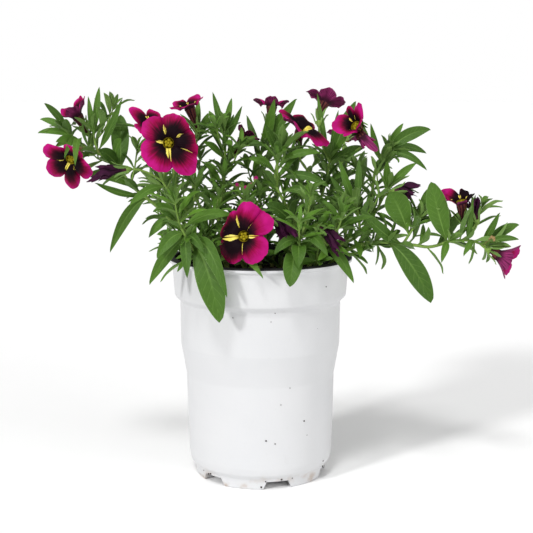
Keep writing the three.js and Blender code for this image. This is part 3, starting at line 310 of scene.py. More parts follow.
# A bloom: the shoot that carries it, where its stalk leaves the stem, the middle of its face, the
# way it faces, its width, how far the limb opens and its turn about its own axis.
BLOOMS = [
    Bloom("bloom_left_large", "stem_left_flower", [-51, 165, -28], [-53.5, 196.5, -44],
          [-0.06, -1, 0.1], 35, 88, 12),
    Bloom("bloom_left_behind", "stem_left_flower", [-57, 174, -27], [-63, 206, -21],
          [-0.4, 0.2, 0.9], 28, 78, 40),
    Bloom("bloom_left_tip", "stem_left_arch", [-100, 193, -12], [-108, 213, -5],
          [-0.55, -0.2, 0.8], 24, 52, 0),
    Bloom("bloom_left_low", "stem_left_arch", [-93.5, 190, -12], [-113, 184.5, -27],
          [-0.25, -0.85, -0.45], 30, 84, 20),
    Bloom("bloom_top_left", "stem_top_left", [-36, 200, 14], [-41, 217, 5],
          [-0.3, -0.25, 0.92], 24, 62, 0),
    Bloom("bloom_top_centre", "stem_top_centre", [1, 192, 20], [6, 219, 24],
          [0.05, -0.12, 1], 24, 72, 30),
    Bloom("bloom_top_facing", "stem_top_right", [38, 173, 5], [26, 205, -14],
          [0.22, -0.52, 0.83], 35, 86, 10),
    Bloom("bloom_top_right", "stem_top_right", [40.5, 187, 5], [35, 219, 18],
          [0.1, 0.55, 0.83], 24, 70, 20),
    Bloom("bloom_right_oblique", "stem_top_right", [40.5, 187, 5], [53, 207.5, -12],
          [-0.62, -0.62, 0.48], 30, 86, 60),
    Bloom("bloom_right_drooping", "stem_top_right", [40.5, 187, 5], [62.5, 200, 7],
          [0.62, -0.25, -0.74], 26, 24, 0),
    Bloom("bloom_hidden", "stem_centre_left", [-20.5, 190.5, 3], [-9, 200, 16],
          [0.55, 0.2, 0.8], 20, 60, 0),
    Bloom("bloom_front", "stem_front_flower", [-6, 139, -31], [-10.5, 141, -55],
          [-0.25, -0.97, 0.08], 33, 88, 36),
    Bloom("bloom_right_half", "stem_right_trail", [112, 139, -20], [115.5, 163, -26],
          [-0.3, -0.35, 0.9], 22, 58, 0),
    Bloom("bloom_right_tip", "stem_right_trail", [129.5, 137.8, -17.4], [148, 127, -24],
          [0.85, -0.35, -0.4], 19, 58, 36),
    Bloom("bloom_back_left", "stem_back_left", [-56, 165, 52], [-54, 197, 56],
          [-0.3, 0.8, 0.5], 32, 86, 15),
    Bloom("bloom_back", "stem_back", [-15, 148, 70], [-4, 145, 92],
          [0.5, 0.8, 0.3], 33, 88, 50),
    Bloom("bloom_back_right", "stem_back_right", [47, 172, 50], [52, 206, 60],
          [0.25, 0.8, 0.5], 31, 86, 30),
]

# A wilted bloom: its shoot, where its stalk leaves the stem, its base and tip places and its
# greatest radius.
WILTED = [
    Wilt("wilted_left", "stem_left_flower", [-57, 174, -27],
         [-78, 181, -33], [-95, 178.5, -36], 4.4),
    Wilt("wilted_front", "stem_front_flower", [-8, 152, -28],
         [7, 152, -40], [17, 142, -46], 5),
    Wilt("wilted_front_right", "stem_right_front", [39.5, 136, -39],
         [34.5, 147, -47], [46, 137, -52], 4.2),
    Wilt("wilted_right", "stem_right_tall", [71, 163, -6],
         [78.5, 168, -14], [90, 168.5, -17], 5),
    Wilt("wilted_right_trail", "stem_right_trail", [118.5, 139.5, -19],
         [127, 152, -22], [124, 163, -24], 4.3),
]

SPREAD_SEED = 20

# ---------------------------------------------------------------- numbers and places


def random_from(seed):
    """Seeded random numbers from 0 to 1, the same on every run."""
    mask = 0xFFFFFFFF
    state = seed & mask

    def draw():
        nonlocal state
        state = (state + 0x6D2B79F5) & mask
        t = ((state ^ (state >> 15)) * (state | 1)) & mask
        t = ((t + ((t ^ (t >> 7)) * (t | 61) & mask)) & mask) ^ t
        return (t ^ (t >> 14)) / 4294967296

    return draw


def drawn(random, least, spread):
    """A random number from least to least + spread."""
    return least + spread * random()


def vec(*numbers):
    return np.array(numbers, float)


def unit(v):
    return v / np.linalg.norm(v, axis=-1, keepdims=True)


def mix(a, b, t):
    return a + (b - a) * t


def smooth(low, high, x):
    """0 up to low, 1 from high on, and a smooth rise between."""
    t = np.clip((x - low) / (high - low), 0, 1)
    return t * t * (3 - 2 * t)


def steps(start, end, step, closed=False):
    """Numbers from start to end by addition of step; end itself counts if closed."""
    numbers = []
    while start < end or (closed and start == end):
        numbers.append(start)
        start += step
    return numbers


def at(place):
    """The point that a place names."""
    x, z, y = place
    k = 1 - y / EYE[1]
    return vec(EYE[0] + (x - EYE[0]) * k, y, EYE[2] + (z - EYE[2]) * k)


def square_to(way):
    """Two directions square to way and to each other, or two for each of many ways."""
    side = unit(np.cross(vec(0.2, 0.95, 0.25), way))
    return side, np.cross(way, side)


def circle(centre, a, b, radius, turns):
    """Points at turns round a centre, in the plane of the directions a and b."""
    return centre + a * (radius * np.cos(turns))[..., None] + b * (radius * np.sin(turns))[..., None]


def ring_turns(count):
    return 2 * np.pi * np.arange(count) / count


def level_ring(radius, height, turns):
    """A ring about the pot's axis; radius and height are one number or one a point."""
    return np.stack([radius * np.cos(turns), radius * np.sin(turns), height + 0 * turns], -1)


def smooth_line(points, step):
    """A smooth line through points, by Catmull-Rom spans cut into steps of about step."""
    line = [points[0]]
    for i in range(len(points) - 1):
        b, c = points[i], points[i + 1]
        a = points[i - 1] if i else 2 * b - c
        d = points[i + 2] if i + 2 < len(points) else 2 * c - b
        cuts = max(1, math.floor(np.linalg.norm(c - b) / step + 0.5))
        for j in range(1, cuts + 1):
            t = j / cuts
            line.append(
                a * (-0.5 * t + t * t - 0.5 * t**3)
                + b * (1 - 2.5 * t * t + 1.5 * t**3)
                + c * (0.5 * t + 2 * t * t - 1.5 * t**3)
                + d * (-0.5 * t * t + 0.5 * t**3)
            )
    return np.array(line)


def stem_line(stem, step=STEM_STEP):
    """A stem's line: straight up out of the potting mix, then through its places."""
    lift = [vec(*stem.root, SOIL_TOP + SOIL_CROWN + 2)] if stem.root else []
    line = smooth_line(lift + [at(place) for place in stem.places], step)
    return np.vstack([vec(*stem.root, SOIL_TOP - ROOT_DEPTH), line]) if stem.root else line


def stem_lines_of(name):
    return [stem_line(stem) for stem in SHOOTS[name].stems]


def line_length(line):
    return float(np.linalg.norm(np.diff(line, axis=0), axis=1).sum())


def along(line, distance):
    """Points and directions at distances along a line."""
    spans = np.linalg.norm(np.diff(line, axis=0), axis=1)
    ends = np.cumsum(spans)
    i = np.minimum(np.searchsorted(ends, distance), len(spans) - 1)
    left = np.minimum(1, (distance - (ends[i] - spans[i])) / spans[i])
    ways = unit(np.diff(line, axis=0))
    return mix(line[i], line[i + 1], np.asarray(left)[..., None]), ways[i]


def nearest_on(lines, point):
    """The point of the lines, short of their very ends, that lies nearest to point."""
    feet = np.vstack([along(line, np.arange(0, line_length(line) - TIP_INSET, 0.5))[0] for line in lines])
    return feet[np.argmin(np.linalg.norm(feet - point, axis=1))]


# ---------------------------------------------------------------- leaves on their curves

# A leaf is a quadratic curve from base over knee to tip, its width and the way it faces.
Leaf = namedtuple("Leaf", "base knee tip width face placed", defaults=[False])


def leaf_outline(u):
    return np.sin(np.pi * u**1.1) ** 0.8


def blunt_outline(u):
    return np.sin(np.pi * u**1.6) ** 0.62


def leaf_at(leaf, u):
    """Middle, side and up of a leaf at u, from 0 at its base to 1 at its tip."""
    u = np.asarray(u)[:, None]
    centre = (1 - u) ** 2 * leaf.base + 2 * u * (1 - u) * leaf.knee + u * u * leaf.tip
    way = unit((1 - u) * (leaf.knee - leaf.base) + u * (leaf.tip - leaf.knee))
    side = unit(np.cross(way, leaf.face))
    return centre, side, np.cross(side, way)


def blade(lines, row):
    """A leaf from the nearest point of a stem to a tip, its middle bowed by a share of its length."""
    base_place, tip_place, width, bow = row
    base, tip = nearest_on(lines, at(base_place)), at(tip_place)
    way = tip - base
    face = vec(*BLADE_FACE)
    face = unit(face - way * (face @ way) / (way @ way))
    knee = mix(base, tip, BLADE_KNEE) + vec(*BOW_WAY) * 2 * bow * np.linalg.norm(way)
    return Leaf(base, knee, tip, width, face, True)


def outward(way, turn_deg):
    """The direction square to way that is turned by turn_deg about it."""
    a, b = square_to(way)
    turn = math.radians(turn_deg)
    return a * math.cos(turn) + b * math.sin(turn)


def sprout(point, way, turn, lean, length, width, curl):
    """A leaf of the rule: it leaves the stem at lean degrees, turned by turn about the stem."""
    lean, curl = math.radians(lean), math.radians(curl)
    aim = unit(way * math.cos(lean) + outward(way, turn) * math.sin(lean) + vec(0, 0, LIFT))
    face = way + vec(0, 0, SKYWARD)
    face = unit(face - aim * (face @ aim))
    knee = point + aim * length * 0.5
    tip = knee + (aim * math.cos(curl) - face * math.sin(curl)) * length * 0.5
    return Leaf(point, knee, tip, width, face)


def leaf_samples(leaf):
    """Points spread over a leaf, and how far along it they are."""
    count = max(6, math.floor(np.linalg.norm(leaf.tip - leaf.base) / 2 + 0.5))
    u = 0.12 + 0.88 * np.arange(1, count + 1) / count
    centre, side, _ = leaf_at(leaf, u)
    half = leaf.width / 2 * leaf_outline(np.minimum(u, 0.999))
    points, shares = [], []
    for i in range(count):
        for s in (-1, -0.5, 0, 0.5, 1) if half[i] > 2.2 else (-1, 0, 1):
            points.append(centre[i] + side[i] * s * half[i])
            shares.append(u[i])
    return np.array(points), np.array(shares)


# ---------------------------------------------------------------- what is already there


class Crowd:
    """The points of everything that is in place, each with its owner."""

    def __init__(self):
        self.points = np.empty((200000, 3))
        self.owners = np.empty(200000, int)
        self.names = {}
        self.count = 0

    def occupy(self, owner, points):
        end = self.count + len(points)
        self.points[self.count : end] = points
        self.owners[self.count : end] = self.names.setdefault(owner, len(self.names))
        self.count = end

    def is_clear(self, owner, points, shares, room):
        """Whether points are clear of the pot, the potting mix and all that is in place."""
        r = np.hypot(points[:, 0], points[:, 1])
        z = points[:, 2]
        inner = COLLAR_FOOT_RADIUS - WALL - CLEAR_POT
        by_wall = (z < POT_HEIGHT + CLEAR_POT) & (r > inner) & (r < LIP_RADIUS + CLEAR_POT)
        by_soil = (z < SOIL_TOP + SOIL_CROWN + CLEAR_POT) & (r < LIP_RADIUS)
        if (by_wall | by_soil).any():
            return False
        there = self.points[: self.count]
        near = ((there > points.min(0) - room.other) & (there < points.max(0) + room.other)).all(1)
        there, mine = there[near], self.owners[: self.count][near] == self.names[owner]
        apart = np.linalg.norm(points[:, None] - there[None], axis=2)
        if (apart[:, ~mine] < room.other).any():
            return False
        return not (apart[shares >= room.foot][:, mine] < room.own).any()

    def settle(self, owner, leaves, choices, room, fits=lambda samples: True):
        """Sets the first of the choices that is clear and fits in place and adds it to leaves."""
        for leaf in choices:
            samples, shares = leaf_samples(leaf)
            if fits(samples) and self.is_clear(owner, samples, shares, room):
                self.occupy(owner, samples)
                leaves.append(leaf)
                return


crowd = Crowd()

# ---------------------------------------------------------------- flowers on their stalks


def limb_at(reach, share, opening):
    """Radius and height of the limb at a share of its reach, for a limb open to opening degrees."""
    r, h = THROAT_RADIUS + 0 * share, 0 * share
    for i in range(LIMB_CUTS):
        t = (i + 0.5) / LIMB_CUTS * share
        opened = LIMB_START_DEG + (opening - LIMB_START_DEG) * np.minimum(1, t * LIMB_OPENING)
        slope = np.radians(np.minimum(opening, opened) + LIMB_RECURVE_DEG * t * t * opening / 90)
        r = r + np.sin(slope) * reach * share / LIMB_CUTS
        h = h + np.cos(slope) * reach * share / LIMB_CUTS
    return r, h


FlowerFrame = namedtuple("FlowerFrame", "middle way across up reach")
Seat = namedtuple("Seat", "seat way line")


def bloom_frame(bloom):
    """A bloom's axes: its face's middle, the way it faces, two directions across it, its reach."""
    way = unit(vec(*bloom.facing))
    a, b = square_to(way)
    c, s = math.cos(math.radians(bloom.turn)), math.sin(math.radians(bloom.turn))
    reach = bloom.width / 2 - THROAT_RADIUS
    return FlowerFrame(at(bloom.face), way, a * c + b * s, b * c - a * s, reach)


def bloom_samples(bloom):
    f = bloom_frame(bloom)
    rings = [(1.8, h, 4) for h in steps(-TUBE_LENGTH, 0, 2)]
    for share in steps(0.12, 1, 0.11, closed=True):
        r, h = limb_at(f.reach, share, bloom.opening)
        rings.append((r, h, math.ceil(3.2 * r)))
    return np.vstack([circle(f.middle + f.way * h, f.across, f.up, r, ring_turns(n)) for r, h, n in rings])


def seat_of(flower):
    """A flower's seat: the end of its stalk, the way it grows from there, and its stalk's line."""
    if isinstance(flower, Bloom):
        f = bloom_frame(flower)
        base, way = f.middle - f.way * TUBE_LENGTH, f.way
    else:
        base, way = at(flower.base), unit(at(flower.tip) - at(flower.base))
    seat = base - way * GAP
    start = nearest_on(stem_lines_of(flower.shoot), at(flower.stalk))
    bend = seat - way * STALK_BEND * np.linalg.norm(seat - start)
    line = [mix(mix(start, bend, t), mix(bend, seat, t), t) for t in (0, 1 / 3, 2 / 3, 1)]
    return Seat(seat, way, line)


def sepal_samples(seat):
    a, b = square_to(seat.way)
    turns = ring_turns(2 * LOBES)[1::2]
    spread = ((2, 0), (3.3, 2), (4.2, 4.2), (4.9, 6.3), (5.6, 8.5))
    return np.vstack([circle(seat.seat + seat.way * h, a, b, r, turns) for r, h in spread])


def wilt_middle(wilt, t):
    return mix(at(wilt.base), at(wilt.tip), t) + vec(0, 0, WILTED_SAG * t * (1 - t))


def wilt_samples(wilt):
    a, b = vec(0.8, 0, 0), vec(0, 0.4, 0.8)
    return np.vstack([
        circle(wilt_middle(wilt, t), a, b, wilt.radius, ring_turns(8)) for t in steps(0, 1, 0.15)
    ])


# ---------------------------------------------------------------- where everything grows

# What a leaf tries, nearest to its rule first: turn about the stem, lean, size.
TRIES = [
    (spin, tilt, size)
    for size in (1, 0.78)
    for spin, tilt in (
        (0, 0), (22, 0), (-22, 0), (0, -14), (0, 14), (44, 0), (-44, 0), (30, -16), (-30, -16),
        (70, 0), (-70, 0), (50, 16), (-50, 16),
    )
]

# A place on a stem where side growth can start: the point, the way of the stem, the turn of
# the leaf there and how far up the stem it is.
Node = namedtuple("Node", "point way turn share")


def rule_leaves(owner, stem, random, grown):
    """The leaves that grow along a stem by rule, each turned clear of what is in place."""
    line = stem_line(stem)
    total = line_length(line) - TIP_INSET
    turn = 360 * random()
    distance = stem.start * total
    while distance < total:
        share = distance / total
        point, way = along(line, distance)
        length = mix(*stem.length, share) * (1 + LENGTH_SPREAD * (random() - 0.5))
        lean = mix(LEAN_FOOT, LEAN_TIP, share**2) + LEAN_SPREAD * (random() - 0.5)
        curl = drawn(random, CURL_LEAST, CURL_SPREAD)
        wide = stem.ratio * (1 + WIDTH_SPREAD * (random() - 0.5))
        grown.nodes.append(Node(point, way, turn, share))
        crowd.settle(owner, grown.leaves, (
            sprout(point, way, turn + spin, lean + tilt, length * size, length * size * wide, curl)
            for spin, tilt, size in TRIES
        ), RULE_ROOM)
        turn += GOLDEN_DEG
        distance += stem.gap * (1 - CROWDING * share)


def place_blades(plan, name, rows):
    """Sets blades of a shoot in place, whatever is there."""
    lines = stem_lines_of(name)
    for row in rows:
        leaf = blade(lines, row)
        plan[name].leaves.append(leaf)
        crowd.occupy(name, leaf_samples(leaf)[0])


def lay_out():
    """Sets every part of the plant in place, in the same order as the solids."""
    plan = {name: SimpleNamespace(leaves=[], nodes=[], seats=[], young=[], sides=[]) for name in SHOOTS}
    for name in SHOOTS:
        for line in stem_lines_of(name):
            crowd.occupy(name, along(line, np.array(steps(0, line_length(line), 1.5)))[0])
    for name, shoot in SHOOTS.items():
        place_blades(plan, name, shoot.blades)
    for bloom in BLOOMS:
        crowd.occupy(bloom.name, bloom_samples(bloom))
    for wilt in WILTED:
        crowd.occupy(wilt.name, wilt_samples(wilt))
    for flower in (*BLOOMS, *WILTED):
        seat = seat_of(flower)
        plan[flower.shoot].seats.append(seat)
        crowd.occupy(flower.shoot, np.vstack([smooth_line(seat.line, 2), sepal_samples(seat)]))
    for i, (name, shoot) in enumerate(SHOOTS.items()):
        random = random_from(SPREAD_SEED + i)
        for stem in shoot.stems:
            rule_leaves(name, stem, random, plan[name])
    return plan


# ---------------------------------------------------------------- side growth

REACH_LOW, REACH_HIGH = ((np.array(corner) - AXIS) / MM for corner in CAD_BOX)
LEAF_INSET = 0.6  # how far the side growth's leaves stay inside the plant's box
SIDE_STEM_INSET = 3
TUFT_LEAVES = 8
TUFT_LENGTH = 18
TUFT_RATIO = 0.23
TUFT_LEAN = (62, 10)
TUFT_CURL_LEAST = 6
YOUNG_LEAN_SPREAD = 16
YOUNG_CURL_SPREAD = 26
SIDE_TUFT_LEAVES = 6
SIDE_TUFT_LENGTH = 15
AXIL_LEAVES = 2
AXIL_LENGTH = 16
SIDE_LEAF_LENGTH = (22, 16)
SIDE_LEAF_RATIO = 0.22
SIDE_LEAF_GAP = 3.6
SIDE_LEAN = 52
LAST_SIDE_STEM = 0.93  # no side stem starts farther up its stem than this share
SIDE_SEED = 500

# Leaves that hang before a bloom or a stem, as a blade's row is, and blades bent aside: the shoot,
# the blade's number and how far its knee is moved.
SCREENS = {
    "stem_left_arch": [
        [[-103, 195, -12], [-119, 197, -34], 5.4, 0.12], [[-104, 196, -12], [-108.2, 183.3, -40], 4.4, 0.26],
        [[-104, 195, -12], [-114, 187.3, -38], 3.4, 0.24], [[-81, 180, -13], [-93.5, 192.5, -26], 8.5, 0.1],
        [[-72, 169, -14], [-100.9, 178, -26], 3.8, 0.08], [[-69, 166, -14], [-96.7, 173.6, -22], 4, -0.08],
    ],
    "stem_centre_right": [[[12.2, 188, -16], [2.5, 207.5, -27], 4.4, 0.03]],
    "stem_top_centre": [
        [[1, 190, 20], [8.3, 222, 12], 6, -0.04], [[1, 191, 20], [20.9, 222.2, 14], 6.5, 0.02],
    ],
    "stem_top_right": [
        [[38, 190, 8], [33, 225.5, 12], 3.4, -0.03], [[39, 190, 8], [45.3, 215.6, 10], 3, 0.04],
        [[39, 186, 8], [55.2, 220.8, 4], 8, 0.02], [[39, 182, 8], [61.1, 194.1, 3], 6, 0.12],
    ],
    "stem_right_trail": [
        [[117, 139.5, -19], [123.6, 160.5, -34], 5.4, 0.04],
        [[122, 139.5, -18.5], [124.8, 166.1, -33], 3, -0.15],
    ],
}
BENT = [("stem_front_flower", 0, (-11, 0, 3)), ("stem_right_trail", 0, (0, -5, 0))]


def in_box(points, inset=LEAF_INSET):
    """Whether points are inside the plant's box."""
    return ((points >= REACH_LOW + inset) & (points <= REACH_HIGH - inset)).all()


def tuft(owner, point, way, count, length, random):
    """Narrow leaves round a growing tip, the youngest in the middle."""
    leaves = []
    turn = 360 * random()
    for share in np.arange(count) / count:
        lean = mix(*TUFT_LEAN, share) + YOUNG_LEAN_SPREAD * (random() - 0.5)
        reach = length * mix(1, 0.45, share) * (0.8 + 0.4 * random())
        curl = drawn(random, TUFT_CURL_LEAST, YOUNG_CURL_SPREAD)
        wide = reach * TUFT_RATIO * (0.85 + 0.4 * random())
        foot = point + way * 2.2 * share
        choices = (sprout(foot, way, turn + spin, lean, reach, wide, curl) for spin in (0, 35, -35, 70))
        crowd.settle(owner, leaves, choices, TUFT_ROOM, in_box)
        turn += GOLDEN_DEG
    return leaves


def side_stem(owner, node, length):
    """The line of a short side stem that bends up from the axil of a leaf, or nothing."""
    for spin in (0, 40, -40, 85, -85, 130):
        aim = unit(node.way * 0.75 + outward(node.way, node.turn + spin) + vec(0, 0, 0.25))
        knee = node.point + aim * length * 0.5
        tip = knee + unit(aim + vec(0, 0, 0.7)) * length * 0.5
        line = smooth_line(np.array([node.point, knee, tip]), 2)
        shares = np.linspace(0, 1, len(line))
        if in_box(line, SIDE_STEM_INSET) and crowd.is_clear(owner, line, shares, SIDE_STEM_ROOM):
            crowd.occupy(owner, line)
            return line
    return None


def side_leaves(owner, line, random):
    """The leaves of a side stem, with a tuft at its tip."""
    leaves = []
    total = line_length(line)
    turn = 360 * random()
    for distance in steps(0.3 * total, total - 2, SIDE_LEAF_GAP):
        point, way = along(line, distance)
        reach = mix(*SIDE_LEAF_LENGTH, distance / total) * (0.8 + 0.4 * random())
        lean = SIDE_LEAN + YOUNG_LEAN_SPREAD * (random() - 0.5)
        curl = drawn(random, CURL_LEAST, YOUNG_CURL_SPREAD)
        wide = reach * SIDE_LEAF_RATIO * (0.88 + 0.3 * random())
        choices = (sprout(point, way, turn + spin, lean, reach, wide, curl) for spin in (0, 40, -40))
        crowd.settle(owner, leaves, choices, SIDE_LEAF_ROOM, in_box)
        turn += GOLDEN_DEG
    return leaves + tuft(owner, *along(line, total), SIDE_TUFT_LEAVES, SIDE_TUFT_LENGTH, random)


def fill_out(plan):
    """Adds tip tufts, axil leaves and short side stems to every shoot."""
    for name, rows in SCREENS.items():
        place_blades(plan, name, rows)
    for name, row, aside in BENT:
        leaf = plan[name].leaves[row]
        plan[name].leaves[row] = leaf._replace(knee=leaf.knee + vec(*aside))
    for i, (name, grown) in enumerate(plan.items()):
        random = random_from(SIDE_SEED + i)
        for line in stem_lines_of(name):
            grown.young += tuft(name, *along(line, line_length(line) - 0.5), TUFT_LEAVES, TUFT_LENGTH, random)
        for j, node in enumerate(grown.nodes):
            if j % 3 == 0 and node.share < LAST_SIDE_STEM:
                line = side_stem(name, node, 13 + 15 * random() * (1 - 0.5 * node.share))
                if line is not None:
                    grown.sides.append(line)
                    grown.young += side_leaves(name, line, random)
                    continue
            if j % 3 == 2:
                continue
            aim = unit(node.way + outward(node.way, node.turn) * 0.9)
            count = AXIL_LEAVES + int(2 * random())
            grown.young += tuft(name, node.point + aim * 1.2, aim, count, AXIL_LENGTH, random)


# ---------------------------------------------------------------- meshes

# Kinds of surface that share a material: in the foliage, and in a flower.
LEAF, STEM, HAIR, DRY, BUD = range(5)
LIMB, TUBE, ANTHER = range(3)


@functools.lru_cache(maxsize=None)
def spindle(rows, columns):
    """Faces of a closed skin over one point, rows of points round it, and a last point."""
    i, j = np.meshgrid(np.arange(rows - 1), np.arange(columns), indexing="ij")
    k = (j + 1) % columns
    low, high = 1 + i * columns, 1 + (i + 1) * columns
    quads = np.stack([low + j, low + k, high + k, high + j], -1).reshape(-1, 4)
    j = np.arange(columns)
    k = (j + 1) % columns
    last = 1 + (rows - 1) * columns
    first_cap = np.stack([0 * j, 1 + k, 1 + j], -1)
    last_cap = np.stack([0 * j + last + columns, last + j, last + k], -1)
    return quads, np.concatenate([first_cap, last_cap])


def painted(shape, *numbers):
    """A row of numbers for every point of a skin of so many rows and columns, both ends too."""
    full = np.stack([np.broadcast_to(number, shape) for number in numbers], -1).reshape(-1, len(numbers))
    return np.vstack([full[:1], full, full[-1:]])


class Piece:
    """A mesh being put together, in millimetres round the pot's axis.

    Paint is a point's place along and across its part, how far underneath it is or, on a wilted corolla,
    how deep in a fold it is, which sets the painted shade there, and its tint. Mark is the start, end and
    width of the yellow wedge next to it, and its darkness.
    """

    def __init__(self):
        self.points, self.faces, self.paint, self.kinds, self.marks = [], [], [], [], []
        self.count = 0

    def add(self, points, faces, paint=(0, 0, 0, 0), kind=0, mark=(0, 0, 0, 0)):
        """Points, groups of faces over them, and four numbers of paint, a kind and a mark a point."""
        self.points.append(points)
        self.faces += [group + self.count for group in faces]
        self.paint.append(np.broadcast_to(paint, (len(points), 4)))
        self.kinds.append(np.broadcast_to(kind, len(points)))
        self.marks.append(np.broadcast_to(mark, (len(points), 4)))
        self.count += len(points)

    def add_spindle(self, first, rings, last, *look):
        """A closed skin over a first point, rings and a last point."""
        rings = np.asarray(rings)
        self.add(np.vstack([first, rings.reshape(-1, 3), last]), spindle(*rings.shape[:2]), *look)

    def make_object(self, name, materials, sharp_deg, face_materials=None):
        """The piece as an object of the scene."""
        sizes = np.concatenate([np.full(len(group), group.shape[1]) for group in self.faces])
        corners = np.concatenate([group.ravel() for group in self.faces])
        mesh = bpy.data.meshes.new(name)
        mesh.vertices.add(self.count)
        mesh.vertices.foreach_set("co", (np.concatenate(self.points) * MM + AXIS).ravel())
        mesh.loops.add(len(corners))
        mesh.loops.foreach_set("vertex_index", corners)
        mesh.polygons.add(len(sizes))
        mesh.polygons.foreach_set("loop_start", np.concatenate([[0], np.cumsum(sizes)[:-1]]))
        if face_materials is not None:
            mesh.polygons.foreach_set("material_index", face_materials)
        mesh.update(calc_edges=True)
        for label, kind, field, rows in (
            ("paint", "FLOAT_COLOR", "color", self.paint), ("mark", "FLOAT_COLOR", "color", self.marks),
            ("kind", "FLOAT", "value", self.kinds),
        ):
            numbers = mesh.attributes.new(label, kind, "POINT")
            numbers.data.foreach_set(field, np.concatenate(rows).astype(np.float32).ravel())
        mesh.shade_smooth()
        mesh.set_sharp_from_angle(angle=math.radians(sharp_deg))
        for material in materials:
            mesh.materials.append(material)
        thing = bpy.data.objects.new(name, mesh)
        bpy.context.collection.objects.link(thing)
        return thing

    def build(self, name, node, materials, sharp_deg=50, face_materials=None):
        """The piece as an object that stands in for a node of the solids."""
        piece = self.make_object(name, materials, sharp_deg, face_materials)
        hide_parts(node)
        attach(piece, "root")
        return piece


# How far a bar's start and end bulge, in radii, and how unequal a crumb is.
START_BULGE, END_BULGE = 0.5, 0.7
CRUMB_LEAST, CRUMB_MOST = 0.7, 1.2


def round_bar(piece, line, radii, paint, kind, sides=7):
    """A round bar along a line; radii is one number or one a point, and its ends are rounded off."""
    ways = unit(np.gradient(line, axis=0))
    side, up = square_to(ways)
    radii = np.broadcast_to(radii, len(line))
    rings = circle(line[:, None], side[:, None], up[:, None], radii[:, None], ring_turns(sides))
    first = line[0] - ways[0] * radii[0] * START_BULGE
    last = line[-1] + ways[-1] * radii[-1] * END_BULGE
    piece.add_spindle(first, rings, last, paint, kind)


def lump(piece, middle, size, numbers, *look):
    """A small irregular crumb."""
    a, b = square_to(unit(numbers.normal(size=3)))
    way = np.cross(a, b)
    rings = []
    for t in (-0.75, -0.2, 0.35, 0.8):
        width = size * math.sqrt(1 - t * t) * numbers.uniform(CRUMB_LEAST, CRUMB_MOST, 7)
        rings.append(circle(middle + way * size * t, a, b, width, ring_turns(7)))
    piece.add_spindle(middle - way * size * 0.9, rings, middle + way * size, *look)


# ---------------------------------------------------------------- fine leaves

# Where a leaf's points stand across it, for a narrow, a middling and a wide one.
ACROSS = {
    5: (-1, -0.78, 0, 0.78, 1),
    7: (-1, -0.86, -0.4, 0, 0.4, 0.86, 1),
    11: (-1, -0.93, -0.64, -0.3, -0.08, 0, 0.08, 0.3, 0.64, 0.93, 1),
}
WIDE, MIDDLING = 6.4, 3
BROAD = 9.5  # leaves wider than this are blunt
LEAF_ROW = 1.5
FEWEST_ROWS, MOST_ROWS = 7, 26
ROW_CROWDING = 0.04  # how much closer a leaf's rows stand near its foot
PETIOLE = 0.4  # half the width of a leaf's foot
LEAF_THICKNESS = 0.4
RIB_DEPTH = 0.28
GROOVE_DEPTH = 0.12
FRONT_ROLL = 0.75
PLACED_CALM = 0.3
FOLD_LEAST, FOLD_SPREAD = 0.1, 0.3
TWIST_SPREAD = 0.9
WAVE_LEAST, WAVE_SPREAD, WAVES = 0.05, 0.09, 1.6
DROOP_SPREAD, SWAY_SPREAD = 0.1, 0.06


def leaf_half(leaf, u, outline=leaf_outline):
    """Half the width of a leaf, narrowed towards its foot."""
    return leaf.width / 2 * outline(u) * (0.5 + 0.5 * smooth(0, 0.34, u))


